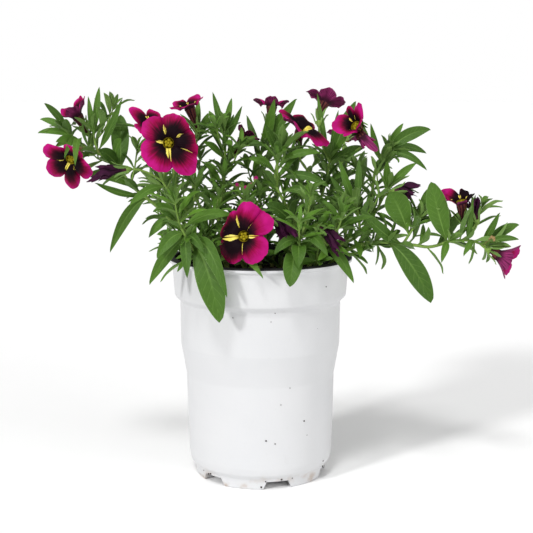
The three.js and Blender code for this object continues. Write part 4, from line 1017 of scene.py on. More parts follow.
def fine_leaf(piece, leaf, random, tint, kind=LEAF, calm=1):
    """A leaf with a folded, waved and twisted blade, a groove over its midrib and a rib under it.

    A calm below 1 lessens fold, twist and droop and rolls the blade towards the front.
    """
    length = np.linalg.norm(leaf.tip - leaf.base)
    across = np.array(ACROSS[11 if leaf.width > WIDE else 7 if leaf.width > MIDDLING else 5], float)
    rows = int(np.clip(round(length / LEAF_ROW), FEWEST_ROWS, MOST_ROWS))
    u = np.linspace(0, 1, rows + 1)[:-1]
    u = u - ROW_CROWDING * np.sin(2 * np.pi * u)
    centre, side, up = leaf_at(leaf, u)
    fold = drawn(random, FOLD_LEAST, FOLD_SPREAD) * mix(0.5, 1, calm)
    twist = (random() - 0.5) * TWIST_SPREAD * calm
    wave = drawn(random, WAVE_LEAST, WAVE_SPREAD) * (1 if leaf.width > 5 else 0.6)
    phase = 2 * math.pi * random()
    droop = DROOP_SPREAD * random() * length * calm
    sway = (random() - 0.5) * SWAY_SPREAD * length * calm
    angle = twist * (u - 0.15)
    if calm < 1:
        half_way = len(u) // 2
        angle = angle - np.clip(math.atan(side[half_way, 1] / up[half_way, 1]), -FRONT_ROLL, FRONT_ROLL)
    cosine, sine = np.cos(angle)[:, None], np.sin(angle)[:, None]
    side, up = side * cosine + up * sine, up * cosine - side * sine
    centre = centre - up * (droop * smooth(0.6, 1, u) ** 2)[:, None]
    centre = centre + side * (sway * np.sin(np.pi * u))[:, None]
    half = leaf_half(leaf, u, blunt_outline if leaf.width > BROAD else leaf_outline)
    half = np.maximum(half, PETIOLE * (1 - smooth(0.2, 0.9, u)) + 0.05)[:, None]
    v, down = across[None], u[:, None]
    ripple = wave * np.sin(2 * np.pi * WAVES * down + phase + 1.3 * (v > 0)) * v**2
    rise = half * (fold * np.abs(v) ** 1.4 + ripple)
    rise = rise - GROOVE_DEPTH * np.exp(-((v / 0.14) ** 2)) * smooth(0.05, 0.2, down)
    thick = LEAF_THICKNESS * (1 - 0.6 * np.abs(v)) * (0.6 + 0.4 * (1 - down))
    rib = RIB_DEPTH * np.exp(-((v / 0.2) ** 2)) * (1 - 0.75 * down)
    top = centre[:, None] + side[:, None] * (v * half)[..., None] + up[:, None] * rise[..., None]
    under = top - up[:, None] * (thick + rib)[..., None]
    rings = np.concatenate([top, under[:, -2:0:-1]], axis=1)
    spread = np.concatenate([across, across[-2:0:-1]])
    face = np.repeat([0.0, 1.0], [len(across), len(across) - 2])  # 0 on top, 1 underneath
    face[[0, len(across) - 1]] = 0.5
    paint = painted(rings.shape[:2], down, spread * 0.5 + 0.5, face, tint)
    paint[[0, -1], 1:3] = 0.5
    paint[-1, 0] = 1
    end_centre, _, end_up = leaf_at(leaf, [1.0])
    piece.add_spindle(centre[0] - up[0] * 0.2, rings, end_centre[0] - end_up[0] * droop, paint, kind)


# ---------------------------------------------------------------- materials


def rgb(r, g, b):
    """A colour as seen on a screen, 0 to 255, in linear light."""
    return (*(((c / 255 + 0.055) / 1.055) ** 2.4 if c > 10 else c / 255 / 12.92 for c in (r, g, b)), 1)


class Value:
    """A number or colour that a material works out at each point, reckoned with by plain signs."""

    def __init__(self, shader, socket):
        self.shader, self.socket = shader, socket

    def __add__(self, other):
        return self.shader.math("ADD", self, other)

    def __sub__(self, other):
        return self.shader.math("SUBTRACT", self, other)

    def __rsub__(self, other):
        return self.shader.math("SUBTRACT", other, self)

    def __mul__(self, other):
        return self.shader.math("MULTIPLY", self, other)

    def __truediv__(self, other):
        return self.shader.math("DIVIDE", self, other)

    def __abs__(self):
        return self.shader.math("ABSOLUTE", self)

    def zigzag(self):
        """Up from 0 to 0.5 and down again, once for each whole number."""
        return self.shader.math("PINGPONG", self, 0.5)

    def clamped(self):
        self.socket.node.use_clamp = True
        return self

    def smooth(self, low, high):
        """0 up to low, 1 from high on (or the other way round), and a smooth change between."""
        inputs = {"Value": self, "From Min": low, "From Max": high}
        return self.shader.node("ShaderNodeMapRange", inputs, interpolation_type="SMOOTHSTEP")


class Shader:
    """A material's nodes, each made by one call that takes numbers, colours or Values."""

    def __init__(self, name, **finish):
        self.material = bpy.data.materials.new(name)
        self.material.use_nodes = True
        self.tree = self.material.node_tree
        self.surface = self.tree.nodes["Principled BSDF"]
        for socket, value in finish.items():
            self.surface.inputs[socket.replace("_", " ")].default_value = value

    def node(self, kind, inputs, output=0, **settings):
        node = self.tree.nodes.new(kind)
        for key, value in settings.items():
            setattr(node, key, value)
        for key, value in inputs.items():
            if isinstance(value, Value):
                self.tree.links.new(value.socket, node.inputs[key])
            else:
                node.inputs[key].default_value = value
        return Value(self, node.outputs[output])

    def math(self, operation, *values):
        return self.node("ShaderNodeMath", dict(enumerate(values)), operation=operation)

    def mix(self, factor, a, b):
        return self.node("ShaderNodeMix", {0: factor, 6: a, 7: b}, 2, data_type="RGBA")

    def four(self, name):
        """The four numbers of a name that a Piece's points carry."""
        colour = self.node("ShaderNodeAttribute", {}, "Color", attribute_name=name)
        split = self.node("ShaderNodeSeparateColor", {0: colour}).socket.node
        return [Value(self, socket) for socket in (*split.outputs[:3], colour.socket.node.outputs["Alpha"])]

    def by_kind(self, colour, *others):
        """A colour for points of kind 0, and others for kinds 1, 2 and so on."""
        kind = self.node("ShaderNodeAttribute", {}, "Fac", attribute_name="kind")
        for number, other in enumerate(others, 1):
            colour = self.mix(kind.smooth(number - 0.6, number - 0.4), colour, other)
        return colour

    def place(self):
        return self.node("ShaderNodeTexCoord", {}, "Object")

    def combine(self, x, y, z):
        return self.node("ShaderNodeCombineXYZ", {0: x, 1: y, 2: z})

    def noise(self, scale, detail, vector=None, roughness=0.55):
        inputs = {"Scale": scale, "Detail": detail, "Roughness": roughness, "Vector": vector or self.place()}
        return self.node("ShaderNodeTexNoise", inputs, "Fac")

    def bump(self, height, distance, strength):
        return self.node("ShaderNodeBump", {"Height": height, "Distance": distance, "Strength": strength})

    def finish(self, colour, roughness, normal=None):
        for name, value in (("Base Color", colour), ("Roughness", roughness), ("Normal", normal)):
            if value is not None:
                self.tree.links.new(value.socket, self.surface.inputs[name])
        return self.material



def foliage_material():
    s = Shader("foliage", Specular_IOR_Level=0.22)
    u, v, under, tint = s.four("paint")
    across = abs(v - 0.5) * 2
    mottle = s.noise(420, 3)
    shade = (tint * 0.9 + mottle * 0.25).clamped()
    top = s.mix(shade, rgb(13, 41, 6), rgb(90, 131, 40))
    below = s.mix(shade, rgb(58, 94, 38), rgb(116, 148, 74))
    colour = s.mix(under.smooth(0.35, 0.6), top, below)
    midrib = across.smooth(0.13, 0.02) * u.smooth(1.0, 0.2)
    colour = s.mix(midrib * 0.4, colour, rgb(132, 168, 82))
    colour = s.mix(u.smooth(0.3, 0.0) * 0.5, colour, rgb(118, 152, 64))
    vein = (u * 11 - across * 1.7).zigzag().smooth(0.08, 0.0) * across.smooth(0.95, 0.5)
    colour = s.mix(vein * 0.14, colour, rgb(140, 176, 92))
    colour = s.mix(across.smooth(0.9, 1.0) * 0.25, colour, rgb(140, 172, 100))
    streak = s.noise(1, 3, s.combine(u * 60, v * 12, tint))
    stem = s.mix(streak, rgb(88, 124, 48), rgb(146, 174, 84))
    stem = s.mix(tint.smooth(0.35, 0.0) * 0.7, stem, rgb(108, 94, 56))
    dry = s.mix(mottle, rgb(108, 84, 48), rgb(184, 156, 106))
    bud = s.mix(u.smooth(0.1, 0.5), rgb(120, 150, 60), rgb(176, 24, 110))
    colour = s.by_kind(colour, stem, rgb(180, 200, 150), dry, bud)
    height = s.noise(2600, 2) * 0.5 + vein * -0.5
    return s.finish(colour, s.noise(900, 2).smooth(-0.7, 1.5), s.bump(height, 0.0001, 0.6))


def petal_material():
    """Dark in the middle and magenta outside, with yellow wedges where the lobes meet."""
    s = Shader("petals", Specular_IOR_Level=0.08)
    share, lobe, back, tint = s.four("paint")
    start, end, wide, stain = s.four("mark")
    seam = 1 - abs(lobe - 0.5) * 2  # 0 where two lobes meet, 1 in the middle of a lobe
    rays = s.noise(1, 3, s.combine(lobe * 24, share * 1.6, tint * 40))
    cloud = s.noise(150, 2)
    grown = share + ((rays - 0.5) * 0.4 + (cloud - 0.5) * 0.35) - stain
    colour = s.mix(cloud, rgb(138, 4, 77), rgb(193, 22, 127))
    colour = s.mix(grown.smooth(0.9, 0.6), colour, rgb(136, 2, 60))
    colour = s.mix(grown.smooth(0.68, 0.42), colour, rgb(60, 2, 26))
    colour = s.mix(grown.smooth(0.5, 0.26), colour, rgb(16, 1, 8))
    crease = seam.smooth(0.07, 0.0) * share.smooth(0.98, 0.62)
    colour = s.mix(crease * 0.8, colour, rgb(44, 4, 46))
    along_wedge = (share - start) / (end - start)
    swell = along_wedge.smooth(-0.25, 0.4) * along_wedge.smooth(1.15, 0.4)
    half = wide * swell + (s.noise(750, 3) - 0.5) * 0.11
    wedge = (seam * (share + 0.25) - half).smooth(0.01, -0.01)
    wedge = wedge * (along_wedge.smooth(0.0, 0.06) * along_wedge.smooth(1.0, 0.94))
    pale = s.mix(along_wedge.smooth(0.0, 0.3), rgb(190, 164, 26), rgb(232, 214, 92))
    pale = s.mix(rays.smooth(0.5, 0.75), pale, rgb(240, 228, 150))
    colour = s.mix(wedge, colour, pale)
    throat = s.mix(s.noise(900, 2), rgb(110, 96, 8), rgb(166, 148, 28))
    colour = s.mix(share.smooth(0.035, 0.005), colour, throat)
    veins = s.noise(1, 2, s.combine(lobe * 30, share, tint * 30))
    mauve = s.mix(veins.smooth(0.4, 0.65), rgb(144, 50, 103), rgb(88, 23, 62))
    mauve = s.mix(share.smooth(0.55, 0.1), mauve, rgb(52, 16, 34))
    colour = s.mix(back.smooth(0.4, 0.6), colour, mauve)
    tube = s.mix((lobe * 2).zigzag().smooth(0.1, 0.3), rgb(40, 12, 26), rgb(98, 50, 48))
    anther = s.mix(s.noise(700, 2), rgb(96, 84, 8), rgb(176, 160, 30))
    colour = s.by_kind(colour, tube, anther)
    height = rays + s.noise(1600, 2) * 0.4
    return s.finish(colour, rays.smooth(-0.8, 1.4), s.bump(height, 0.00025, 0.7))


def wilted_material():
    """Dry, pleated petals: dull purple ridges, and painted shade that darkens the folds to near-black."""
    s = Shader("wilted_petals", Specular_IOR_Level=0.12)
    share, turn, depth, tint = s.four("paint")
    rays = s.noise(1, 3, s.combine(turn * 30, share * 5, tint))
    colour = s.mix(rays, rgb(17, 6, 15), rgb(68, 24, 56))
    colour = s.mix(share.smooth(0.55, 1.0) * (tint * 0.6), colour, rgb(100, 34, 82))
    colour = s.mix(share.smooth(0.3, 0.0), colour, rgb(96, 62, 66))
    # painted shade: the deeper a point lies in a pleat's fold, the nearer to black it is painted
    colour = s.mix((depth * 0.7).clamped(), colour, rgb(10, 3, 10))
    return s.finish(colour, rays.smooth(-1.2, 1.2), s.bump(rays, 0.0004, 0.8))


def pot_material():
    """White plastic with a faint mottle, a few marks and dust near the feet."""
    s = Shader("pot_plastic", Specular_IOR_Level=0.4, Coat_Weight=0.05)
    colour = s.mix(s.noise(28, 3), rgb(200, 201, 203), rgb(208, 208, 209))
    scuff = s.noise(160, 4, roughness=0.7).smooth(0.62, 0.72)
    colour = s.mix(scuff * 0.1, colour, rgb(176, 176, 172))
    height = s.node("ShaderNodeSeparateXYZ", {0: s.place()}, 2)
    grime = height.smooth(0.012, 0.0) * s.noise(120, 4).smooth(0.45, 0.75)
    colour = s.mix(grime * 0.6, colour, rgb(150, 118, 84))
    return s.finish(colour, s.noise(60, 3).smooth(-0.9, 2.0), s.bump(s.noise(260, 3), 0.00012, 0.5))


def pot_inside_material():
    s = Shader("pot_inside", Specular_IOR_Level=0.3)
    colour = s.mix(s.noise(90, 3), rgb(16, 16, 18), rgb(38, 37, 38))
    return s.finish(colour, s.noise(60, 3).smooth(-1.2, 1.6), s.bump(s.noise(300, 3), 0.0001, 0.5))


def mix_material():
    """Damp peat with paler fibres."""
    s = Shader("potting_mix", Specular_IOR_Level=0.2)
    colour = s.mix(s.noise(700, 4), rgb(18, 13, 10), rgb(58, 44, 34))
    fibres = s.noise(1400, 3, roughness=0.8).smooth(0.6, 0.68)
    colour = s.mix(fibres * 0.6, colour, rgb(112, 90, 66))
    return s.finish(colour, s.noise(500, 2).smooth(-2.5, 1.2), s.bump(s.noise(900, 4), 0.0006, 1.0))


def floor_material():
    s = Shader("floor", Specular_IOR_Level=0.2)
    colour = s.mix(s.noise(14, 3), rgb(253, 253, 253), rgb(254, 254, 254))
    return s.finish(colour, s.noise(40, 2).smooth(-2.0, 1.4))


# ---------------------------------------------------------------- leafy stems

STEM_SIDES = 8
STEM_ROW = 2.5
STEM_SHARE = 0.92  # of the radius in the solids
SIDE_STEM_RADII = (0.62, 0.4)
STALK_ROW = 1.5
BUD_STALK_RADIUS = 0.35
DRY_STALK_RADIUS = 0.4
HAIR_LENGTH = 0.5
HAIR_RADIUS = 0.04
HAIR_GAP = 0.45
STEM_HAIR_GAP = 0.3
# A look is four numbers of paint and a kind.
HAIR_LOOK = (0.5, 0.5, 0, 0.5), HAIR
STALK_LOOK = (0.5, 0.5, 0, 0.75), STEM
SIDE_STEM_LOOK = (0.5, 0.5, 0, 0.7), STEM
DRY_STALK_LOOK = (0.5, 0.5, 0, 0), STEM
CUP_LOW, CUP_HIGH = -2.8, 0.6
CUP_FOOT_RADIUS = 0.6
CUP_SWELL = 1.5
SEPAL_LENGTH = 10
SEPAL_WIDTH = 1.9
BUDS = {"stem_front_flower": [[-14, 173.5, -18], [-8.5, 172, -22], [-5, 173.5, -20], [-2, 177.5, -16]]}
BUD_LENGTH = 4
BUD_RADIUS = 1.3
# Each dried remnant's place and size.
DRIED = {
    "stem_left_arch": [([-107, 191, -21], 1), ([-104.5, 192.5, -19], 1)],
    "stem_right_trail": [([137, 141.5, -27], 0.7)],
}
DRIED_LEAVES = 7
FOLIAGE_SEED = 900
# The least tint of each sort of leaf, and its spread.
PLAIN_TINT = (0.3, 0.4)
DARK_TINT = (0.25, 0.25)
YOUNG_TINT = (0.45, 0.5)
SEPAL_TINT = (0.55, 0.2)
DARK_WIDTH = 8  # leaves of this width and more are dark


def hairs(piece, roots, ways, lengths):
    """Short three-sided hairs, one closed spike each; lengths add to a half of HAIR_LENGTH."""
    count = len(roots)
    if not count:
        return
    a = unit(np.cross(ways, vec(0.3, 0.5, 0.8)))
    b = np.cross(ways, a)
    feet = circle(roots[:, None], a[:, None], b[:, None], HAIR_RADIUS, ring_turns(3))
    tips = roots + ways * (HAIR_LENGTH * (0.5 + lengths))[:, None]
    spike = np.array([[0, 1, 3], [1, 2, 3], [2, 0, 3], [0, 2, 1]])
    faces = (np.arange(count)[:, None, None] * 4 + spike).reshape(-1, 3)
    piece.add(np.concatenate([feet, tips[:, None]], axis=1).reshape(-1, 3), [faces], *HAIR_LOOK)


def stem_hairs(piece, line, radius, numbers, gap=HAIR_GAP):
    points, ways = along(line, np.arange(0.5, line_length(line), gap))
    count = len(points)
    out = circle(0, *square_to(ways), 1, numbers.random(count) * 2 * np.pi)
    way = unit(out + ways * (numbers.random((count, 1)) * 0.8 - 0.3))
    hairs(piece, points + out * radius * 0.9, way, numbers.random(count))


def leaf_hairs(piece, leaf, numbers):
    """Hairs along both edges of a leaf."""
    count = int(np.linalg.norm(leaf.tip - leaf.base) * 0.7)
    u = 0.1 + 0.85 * numbers.random(count)
    centre, side, up = leaf_at(leaf, u)
    side = side * np.where(numbers.random(count) < 0.5, -1.0, 1.0)[:, None]
    half = leaf_half(leaf, u)[:, None]
    ways = unit(side + up * (numbers.random((count, 1)) - 0.3))
    hairs(piece, centre + side * half * 0.92 + up * half * 0.1, ways, numbers.random(count) * 0.7)


def calyx(piece, seat, random, numbers):
    """A small green cup and five narrow sepals."""
    start, way, _ = seat
    turns = ring_turns(10)
    cup = []
    for t in np.linspace(0, 1, 6):
        r = CUP_FOOT_RADIUS + CUP_SWELL * math.sin(math.pi / 2 * t) + 0.06 * np.cos(LOBES * turns)
        cup.append(circle(start + way * mix(CUP_LOW, CUP_HIGH, t), *square_to(way), r, turns))
    cup.append(start + way * 0.3 + 0.55 * (cup[-1] - start - way * CUP_HIGH))
    piece.add_spindle(start - way * 3.3, cup, start - way * 0.2, *STALK_LOOK)
    for i in range(LOBES):
        out = outward(way, 360 * (i + 0.5) / LOBES)
        length = SEPAL_LENGTH * drawn(random, 0.85, 0.25)
        base = start + out * 1.5 - way * 0.6
        knee = start + out * 3.1 + way * length * 0.45
        tip = start + out * drawn(random, 4.6, 1.2) + way * length * 0.88
        sepal = Leaf(base, knee, tip, SEPAL_WIDTH * drawn(random, 0.85, 0.3), way * 0.5 - out * 0.8)
        fine_leaf(piece, sepal, random, drawn(random, *SEPAL_TINT))
        leaf_hairs(piece, sepal, numbers)


def bud(piece, lines, place):
    """A small closed flower bud on a thin stalk from the nearest stem."""
    tip = at(place)
    start = nearest_on(lines, tip - vec(0, 0, 6))
    way = unit(tip - start + vec(0, 0, 3))
    base = tip - way * BUD_LENGTH
    stalk = smooth_line([start, mix(start, base, 0.5) - way * 0.5, base], STALK_ROW)
    round_bar(piece, stalk, BUD_STALK_RADIUS, *SIDE_STEM_LOOK, 6)
    turns = ring_turns(10)
    shares = np.array([0, 0.2, 0.4, 0.6, 0.8, 0.93])
    rings = []
    for t, girth in zip(shares, (0.4, 0.75, 0.95, 1, 0.7, 0.35)):
        r = BUD_RADIUS * girth * (1 + 0.12 * np.cos(5 * turns))
        rings.append(circle(base + way * BUD_LENGTH * t, *square_to(way), r, turns + t))
    paint = painted((len(shares), len(turns)), shares[:, None], 0, 0, 0)
    paint[-1, 0] = 1
    piece.add_spindle(base - way * 0.4, rings, tip, paint, BUD)


def dried(piece, lines, place, size, numbers, random):
    """A shrivelled brown remnant of a flower, held by the nearest stem."""
    middle = at(place)
    start = nearest_on(lines, middle)
    stalk = smooth_line([start, mix(start, middle, 0.5), middle], STALK_ROW)
    round_bar(piece, stalk, DRY_STALK_RADIUS, *DRY_STALK_LOOK, 6)
    for _ in range(DRIED_LEAVES):
        away = unit(numbers.normal(size=3))
        lump(piece, middle + away * 1.1 * size, 1.2 * size, numbers, (0.5, 0.5, 0, 0.5), DRY)
        tip = middle + unit(away - vec(0, 0, 0.5)) * 4 * size
        face = np.cross(away, vec(0.3, 0.4, 0.8))
        fine_leaf(piece, Leaf(middle, middle + away * 2.2 * size, tip, 1.6 * size, face), random, 0.5, DRY)


def stem_piece(name, grown, seed, material):
    """A leafy stem: its stems, side stems, leaves, flower stalks, calyces and hairs."""
    piece = Piece()
    random = random_from(seed)
    numbers = np.random.default_rng(seed)
    for stem in SHOOTS[name].stems:
        line = stem_line(stem, STEM_ROW)
        shares = np.linspace(0, 1, len(line))
        radii = mix(*stem.radius, shares) * STEM_SHARE
        shape, tints = (len(line), STEM_SIDES), np.clip(shares * 1.5, 0, 0.9)
        paint = painted(shape, shares[:, None], np.linspace(0, 1, STEM_SIDES), 0, tints[:, None])
        round_bar(piece, line, radii, paint, STEM, STEM_SIDES)
        stem_hairs(piece, line[2:], radii.mean(), numbers, STEM_HAIR_GAP)
    for line in grown.sides:
        round_bar(piece, line, np.linspace(*SIDE_STEM_RADII, len(line)), *SIDE_STEM_LOOK, 6)
        stem_hairs(piece, line, 0.5, numbers)
    for seat in grown.seats:
        line = smooth_line(seat.line[:-1] + [seat.seat - seat.way], STALK_ROW)
        round_bar(piece, line, STALK_RADIUS, *STALK_LOOK)
        stem_hairs(piece, line, STALK_RADIUS, numbers)
        calyx(piece, seat, random, numbers)
    for leaf in grown.leaves:
        tint = drawn(random, *(PLAIN_TINT if leaf.width < DARK_WIDTH else DARK_TINT))
        fine_leaf(piece, leaf, random, tint, calm=PLACED_CALM if leaf.placed else 1)
        leaf_hairs(piece, leaf, numbers)
    for leaf in grown.young:
        fine_leaf(piece, leaf, random, drawn(random, *YOUNG_TINT))
        leaf_hairs(piece, leaf, numbers)
    lines = stem_lines_of(name)
    for place in BUDS.get(name, ()):
        bud(piece, lines, place)
    for place, size in DRIED.get(name, ()):
        dried(piece, lines, place, size, numbers, random)
    piece.build(name.replace("stem", "leafy"), name, [material])


# ---------------------------------------------------------------- corollas

PETAL = 0.4
LOBE_COLUMNS = 20
COLUMNS = LOBE_COLUMNS * LOBES
LIMB_ROWS = 16
THROAT_STATIONS = (1, 0.8, 0.55, 0.3, 0.12)
TUBE_STATIONS = (0, 0.12, 0.25, 0.4, 0.55, 0.7, 0.85, 1)
BULGE = 0.07  # how far a lobe's middle rises, in reaches
CREASE, CREASE_WIDTH = 0.11, 0.13  # where two lobes meet
THROAT_NARROWING = 0.5
TUBE_RIB = 0.09
PETAL_SEED = 1300
# What a bloom draws where its habit says nothing: its seams' shift in lobes, its lobes' reach and
# darkness, and the start, end and width of each yellow wedge.
SEAM_SHIFT = (-0.09, 0.09)
REACH_RANGE = (0.9, 1.07)
STAIN_RANGE = (-0.12, 0.2)
WEDGE_RANGES = ((0.08, 0.3), (0.5, 0.66), (0.08, 0.18))
TINT_RANGE = (0.2, 0.8)
# How a bloom's limb differs from the plain one: how deep the gaps between its lobes are, its
# ruffle, how far its lobes' edges roll back and how unequally they lean; where the lobes meet, in
# degrees on the front elevation; each lobe's reach, extra lean in degrees and darkness, from the
# first of those seams on; each seam's yellow wedge, as its start and end in shares of the reach
# and its width; each seam's own gap; the way the limb faces; and its shift from the flower's middle.
Habit = namedtuple(
    "Habit",
    "depth ruffle roll uneven seams reaches leans stains wedges gaps way shift",
    defaults=[None] * 7 + [(0, 0, 0)],
)
PLAIN = Habit(0.28, 0.06, 0.12, 7)
HABITS = {
    "bloom_left_large": Habit(
        0.2, 0.05, 0.06, 3, [-81, -22, 31, 103, 171], [1.36, 0.92, 0.98, 1.06, 0.98], None,
        [0.06, 0.36, 0.24, 0, -0.04],
        [(-0.3, 0.7, 0.17), (0.36, 0.84, 0.08), (0.26, 0.66, 0.11), (0.2, 0.66, 0.11), (-0.1, 0.46, 0.1)],
        [0.3, 0.08, 0.12, 0.16, 0.26],
    ),
    "bloom_left_low": Habit(
        0.42, 0.05, 0.1, 4, [-64, 5, 120, 177, 241], [1.02, 0.62, 1.18, 1.22, 1.4], [0, 14, 0, 0, 0],
        [0.1, 0.2, 0.06, 0.12, 0.14],
        [(0.16, 0.6, 0.07), (0.2, 0.4, 0.05), (0.3, 0.6, 0.05), (0.1, 0.55, 0.06), (-0.2, 0.55, 0.16)],
        [0.4, 0.5, 0.46, 0.26, 0.34], shift=(2.5, 0, 2.5),
    ),
    "bloom_front": Habit(
        0.34, 0.05, 0.06, 3, [3, 55, 110, 188, 265], [1.26, 1.26, 1.0, 1.34, 1.06], [0, -5, 34, 20, 0],
        [-0.12, -0.02, 0.4, 0.3, -0.06],
        [(-0.2, 0.8, 0.14), (0.1, 0.5, 0.02), (0.2, 0.8, 0.09), (-0.05, 0.92, 0.2), (0.1, 0.8, 0.05)],
        [0.44, 0.1, 0.14, 0.08, 0.38], shift=(0.6, 0, 0.8),
    ),
    "bloom_top_facing": Habit(
        0.24, 0.07, 0.12, 4, [50, 122, 194, 266, 338], [1.0, 1.05, 1.05, 1.1, 1.12], [4, 0, -30, -12, 4],
        [0.3, 0.2, -0.1, -0.05, 0.1],
        [(-0.1, 0.75, 0.2), (0.2, 0.6, 0.06), (0.2, 0.5, 0.05), (0.1, 0.5, 0.06), (0.1, 0.5, 0.06)],
        way=(0.47, -0.4, 0.79), shift=(-2.5, 0, -2),
    ),
    "bloom_right_oblique": Habit(
        0.3, 0.06, 0.1, 4, [-70, 28, 80, 118, 232], [0.66, 0.95, 0.85, 0.96, 0.66], [-38, -30, -24, -24, -26],
        [0.1, -0.12, 0.3, -0.14, -0.05],
        [(0.02, 0.5, 0.12), (0.1, 0.5, 0.04), (0.1, 0.6, 0.04), (0.1, 0.6, 0.1), (0.1, 0.4, 0.05)],
        shift=(2.2, 0, -1),
    ),
    "bloom_top_centre": Habit(
        0.2, 0.06, 0.3, 4, [-42, 30, 90, 150, 222], [0.95, 0.8, 0.8, 1.05, 0.72], [-4, 0, 0, -2, -32],
        gaps=[0.3, 0.2, 0.2, 0.2, 0.3], way=(0.03, 0.16, 0.98), shift=(0.6, 0, -1.4),
    ),
    "bloom_top_right": Habit(
        0.2, 0.06, 0.1, 4, [-54, 18, 90, 162, 234], [1.15, 1.1, 1.0, 1.2, 1.0], [-12, -5, 0, 20, -24],
        gaps=[0.1, 0.16, 0.2, 0.34, 0.3], way=(0.42, 0.36, 0.83), shift=(2, 0, 0.6),
    ),
    "bloom_left_behind": Habit(
        0.3, 0.08, 0.12, 5, [118, 174, 240, 312, 30], [1.36, 0.5, 0.7, 0.8, 0.6], [-12, 0, 0, 0, -10],
        [0.05, 0.1, 0.1, 0.1, 0.2], way=(-0.3, -0.75, 0.6),
    ),
    "bloom_back_right": Habit(0.28, 0.06, 0.12, 7, way=(0.2, 0.35, 0.92), shift=(-1, 0, -6)),
    "bloom_left_tip": Habit(
        0.3, 0.08, 0.16, 12, reaches=[1.2, 1.12, 1.25, 1.15, 1.2], stains=[0.1, -0.05, 0.12, 0.05, 0.1],
        shift=(2, 0, -1),
    ),
    "bloom_right_half": Habit(
        0.3, 0.1, 0.16, 8, [-54, 18, 90, 162, 234], [0.85, 0.7, 1.6, 0.75, 0.55], [8, 10, 0, -10, -20],
        [0.8, 0.8, -0.15, 0.2, 0.7], shift=(2.2, 0, -0.8),
    ),
    "bloom_right_tip": Habit(
        0.2, 0.08, 0.1, 5, reaches=[1.95, 1.85, 2.0, 1.9, 1.95], leans=[-22] * 5, shift=(-6.8, 2.8, 3.2),
    ),
    "bloom_right_drooping": Habit(
        0.12, 0.05, 0.05, 2, [190, 235, 285, 340, 62], [0.5, 0.4, 0.4, 0.55, 1.5], [-8, -10, -10, -8, -4],
        gaps=[0.5, 0.12, 0.12, 0.12, 0.5], way=(0.62, -0.3, -0.72), shift=(-5, -21, 0.5),
    ),
}


def frame_turn(f, degrees):
    """The turn in a flower's own plane of the direction that shows at degrees on the front elevation.

    For a flower that faces up it is the direction that shows at degrees on the plan.
    """
    second = 1 if f.way[2] > 0.7 else 2
    plane = np.array([[f.across[0], f.up[0]], [f.across[second], f.up[second]]])
    a, b = np.linalg.solve(plane, [math.cos(math.radians(degrees)), math.sin(math.radians(degrees))])
    return math.atan2(b, a)


class Lobes:
    """Where a corolla's columns stand, which lobe each is in, and values carried round it."""

    def __init__(self, f, habit, draw):
        if habit.seams:
            seams = np.array([frame_turn(f, degrees) for degrees in habit.seams])
            seams = seams[0] + (seams - seams[0]) % (2 * np.pi)
        else:
            seams = (np.arange(LOBES) + 0.5 + draw(*SEAM_SHIFT, LOBES)) * 2 * np.pi / LOBES
        spans = np.diff(np.append(seams, seams[0] + 2 * np.pi))
        share = np.arange(LOBE_COLUMNS) / LOBE_COLUMNS
        # columns run clockwise, so that a skin swept from the throat outwards faces out
        self.turns = (seams[:, None] + spans[:, None] * share).ravel()[::-1]
        self.lobe = np.repeat(np.arange(LOBES), LOBE_COLUMNS)[::-1]
        self.local = np.tile(share * 2 - 1, LOBES)[::-1]
        self.near = np.abs(self.local)

    def blend(self, values):
        """One value a lobe, carried smoothly from lobe to lobe."""
        values = np.asarray(values, float)
        beside = values[(self.lobe + np.where(self.local > 0, 1, -1)) % LOBES]
        return mix(values[self.lobe], beside, 0.5 * smooth(0, 1, self.near))

    def nearest_seam(self, rows):
        """Each column's row of numbers from the seam it is nearest to."""
        return np.asarray(rows, float)[(self.lobe + (self.local > 0)) % LOBES]


def limb_frame(f, habit):
    """The axes of a bloom's limb: the flower's own, turned and shifted as its habit says."""
    way = unit(vec(*habit.way)) if habit.way else f.way
    across = unit(f.across - way * (f.across @ way))
    return FlowerFrame(f.middle + vec(*habit.shift), way, across, np.cross(way, across), f.reach)


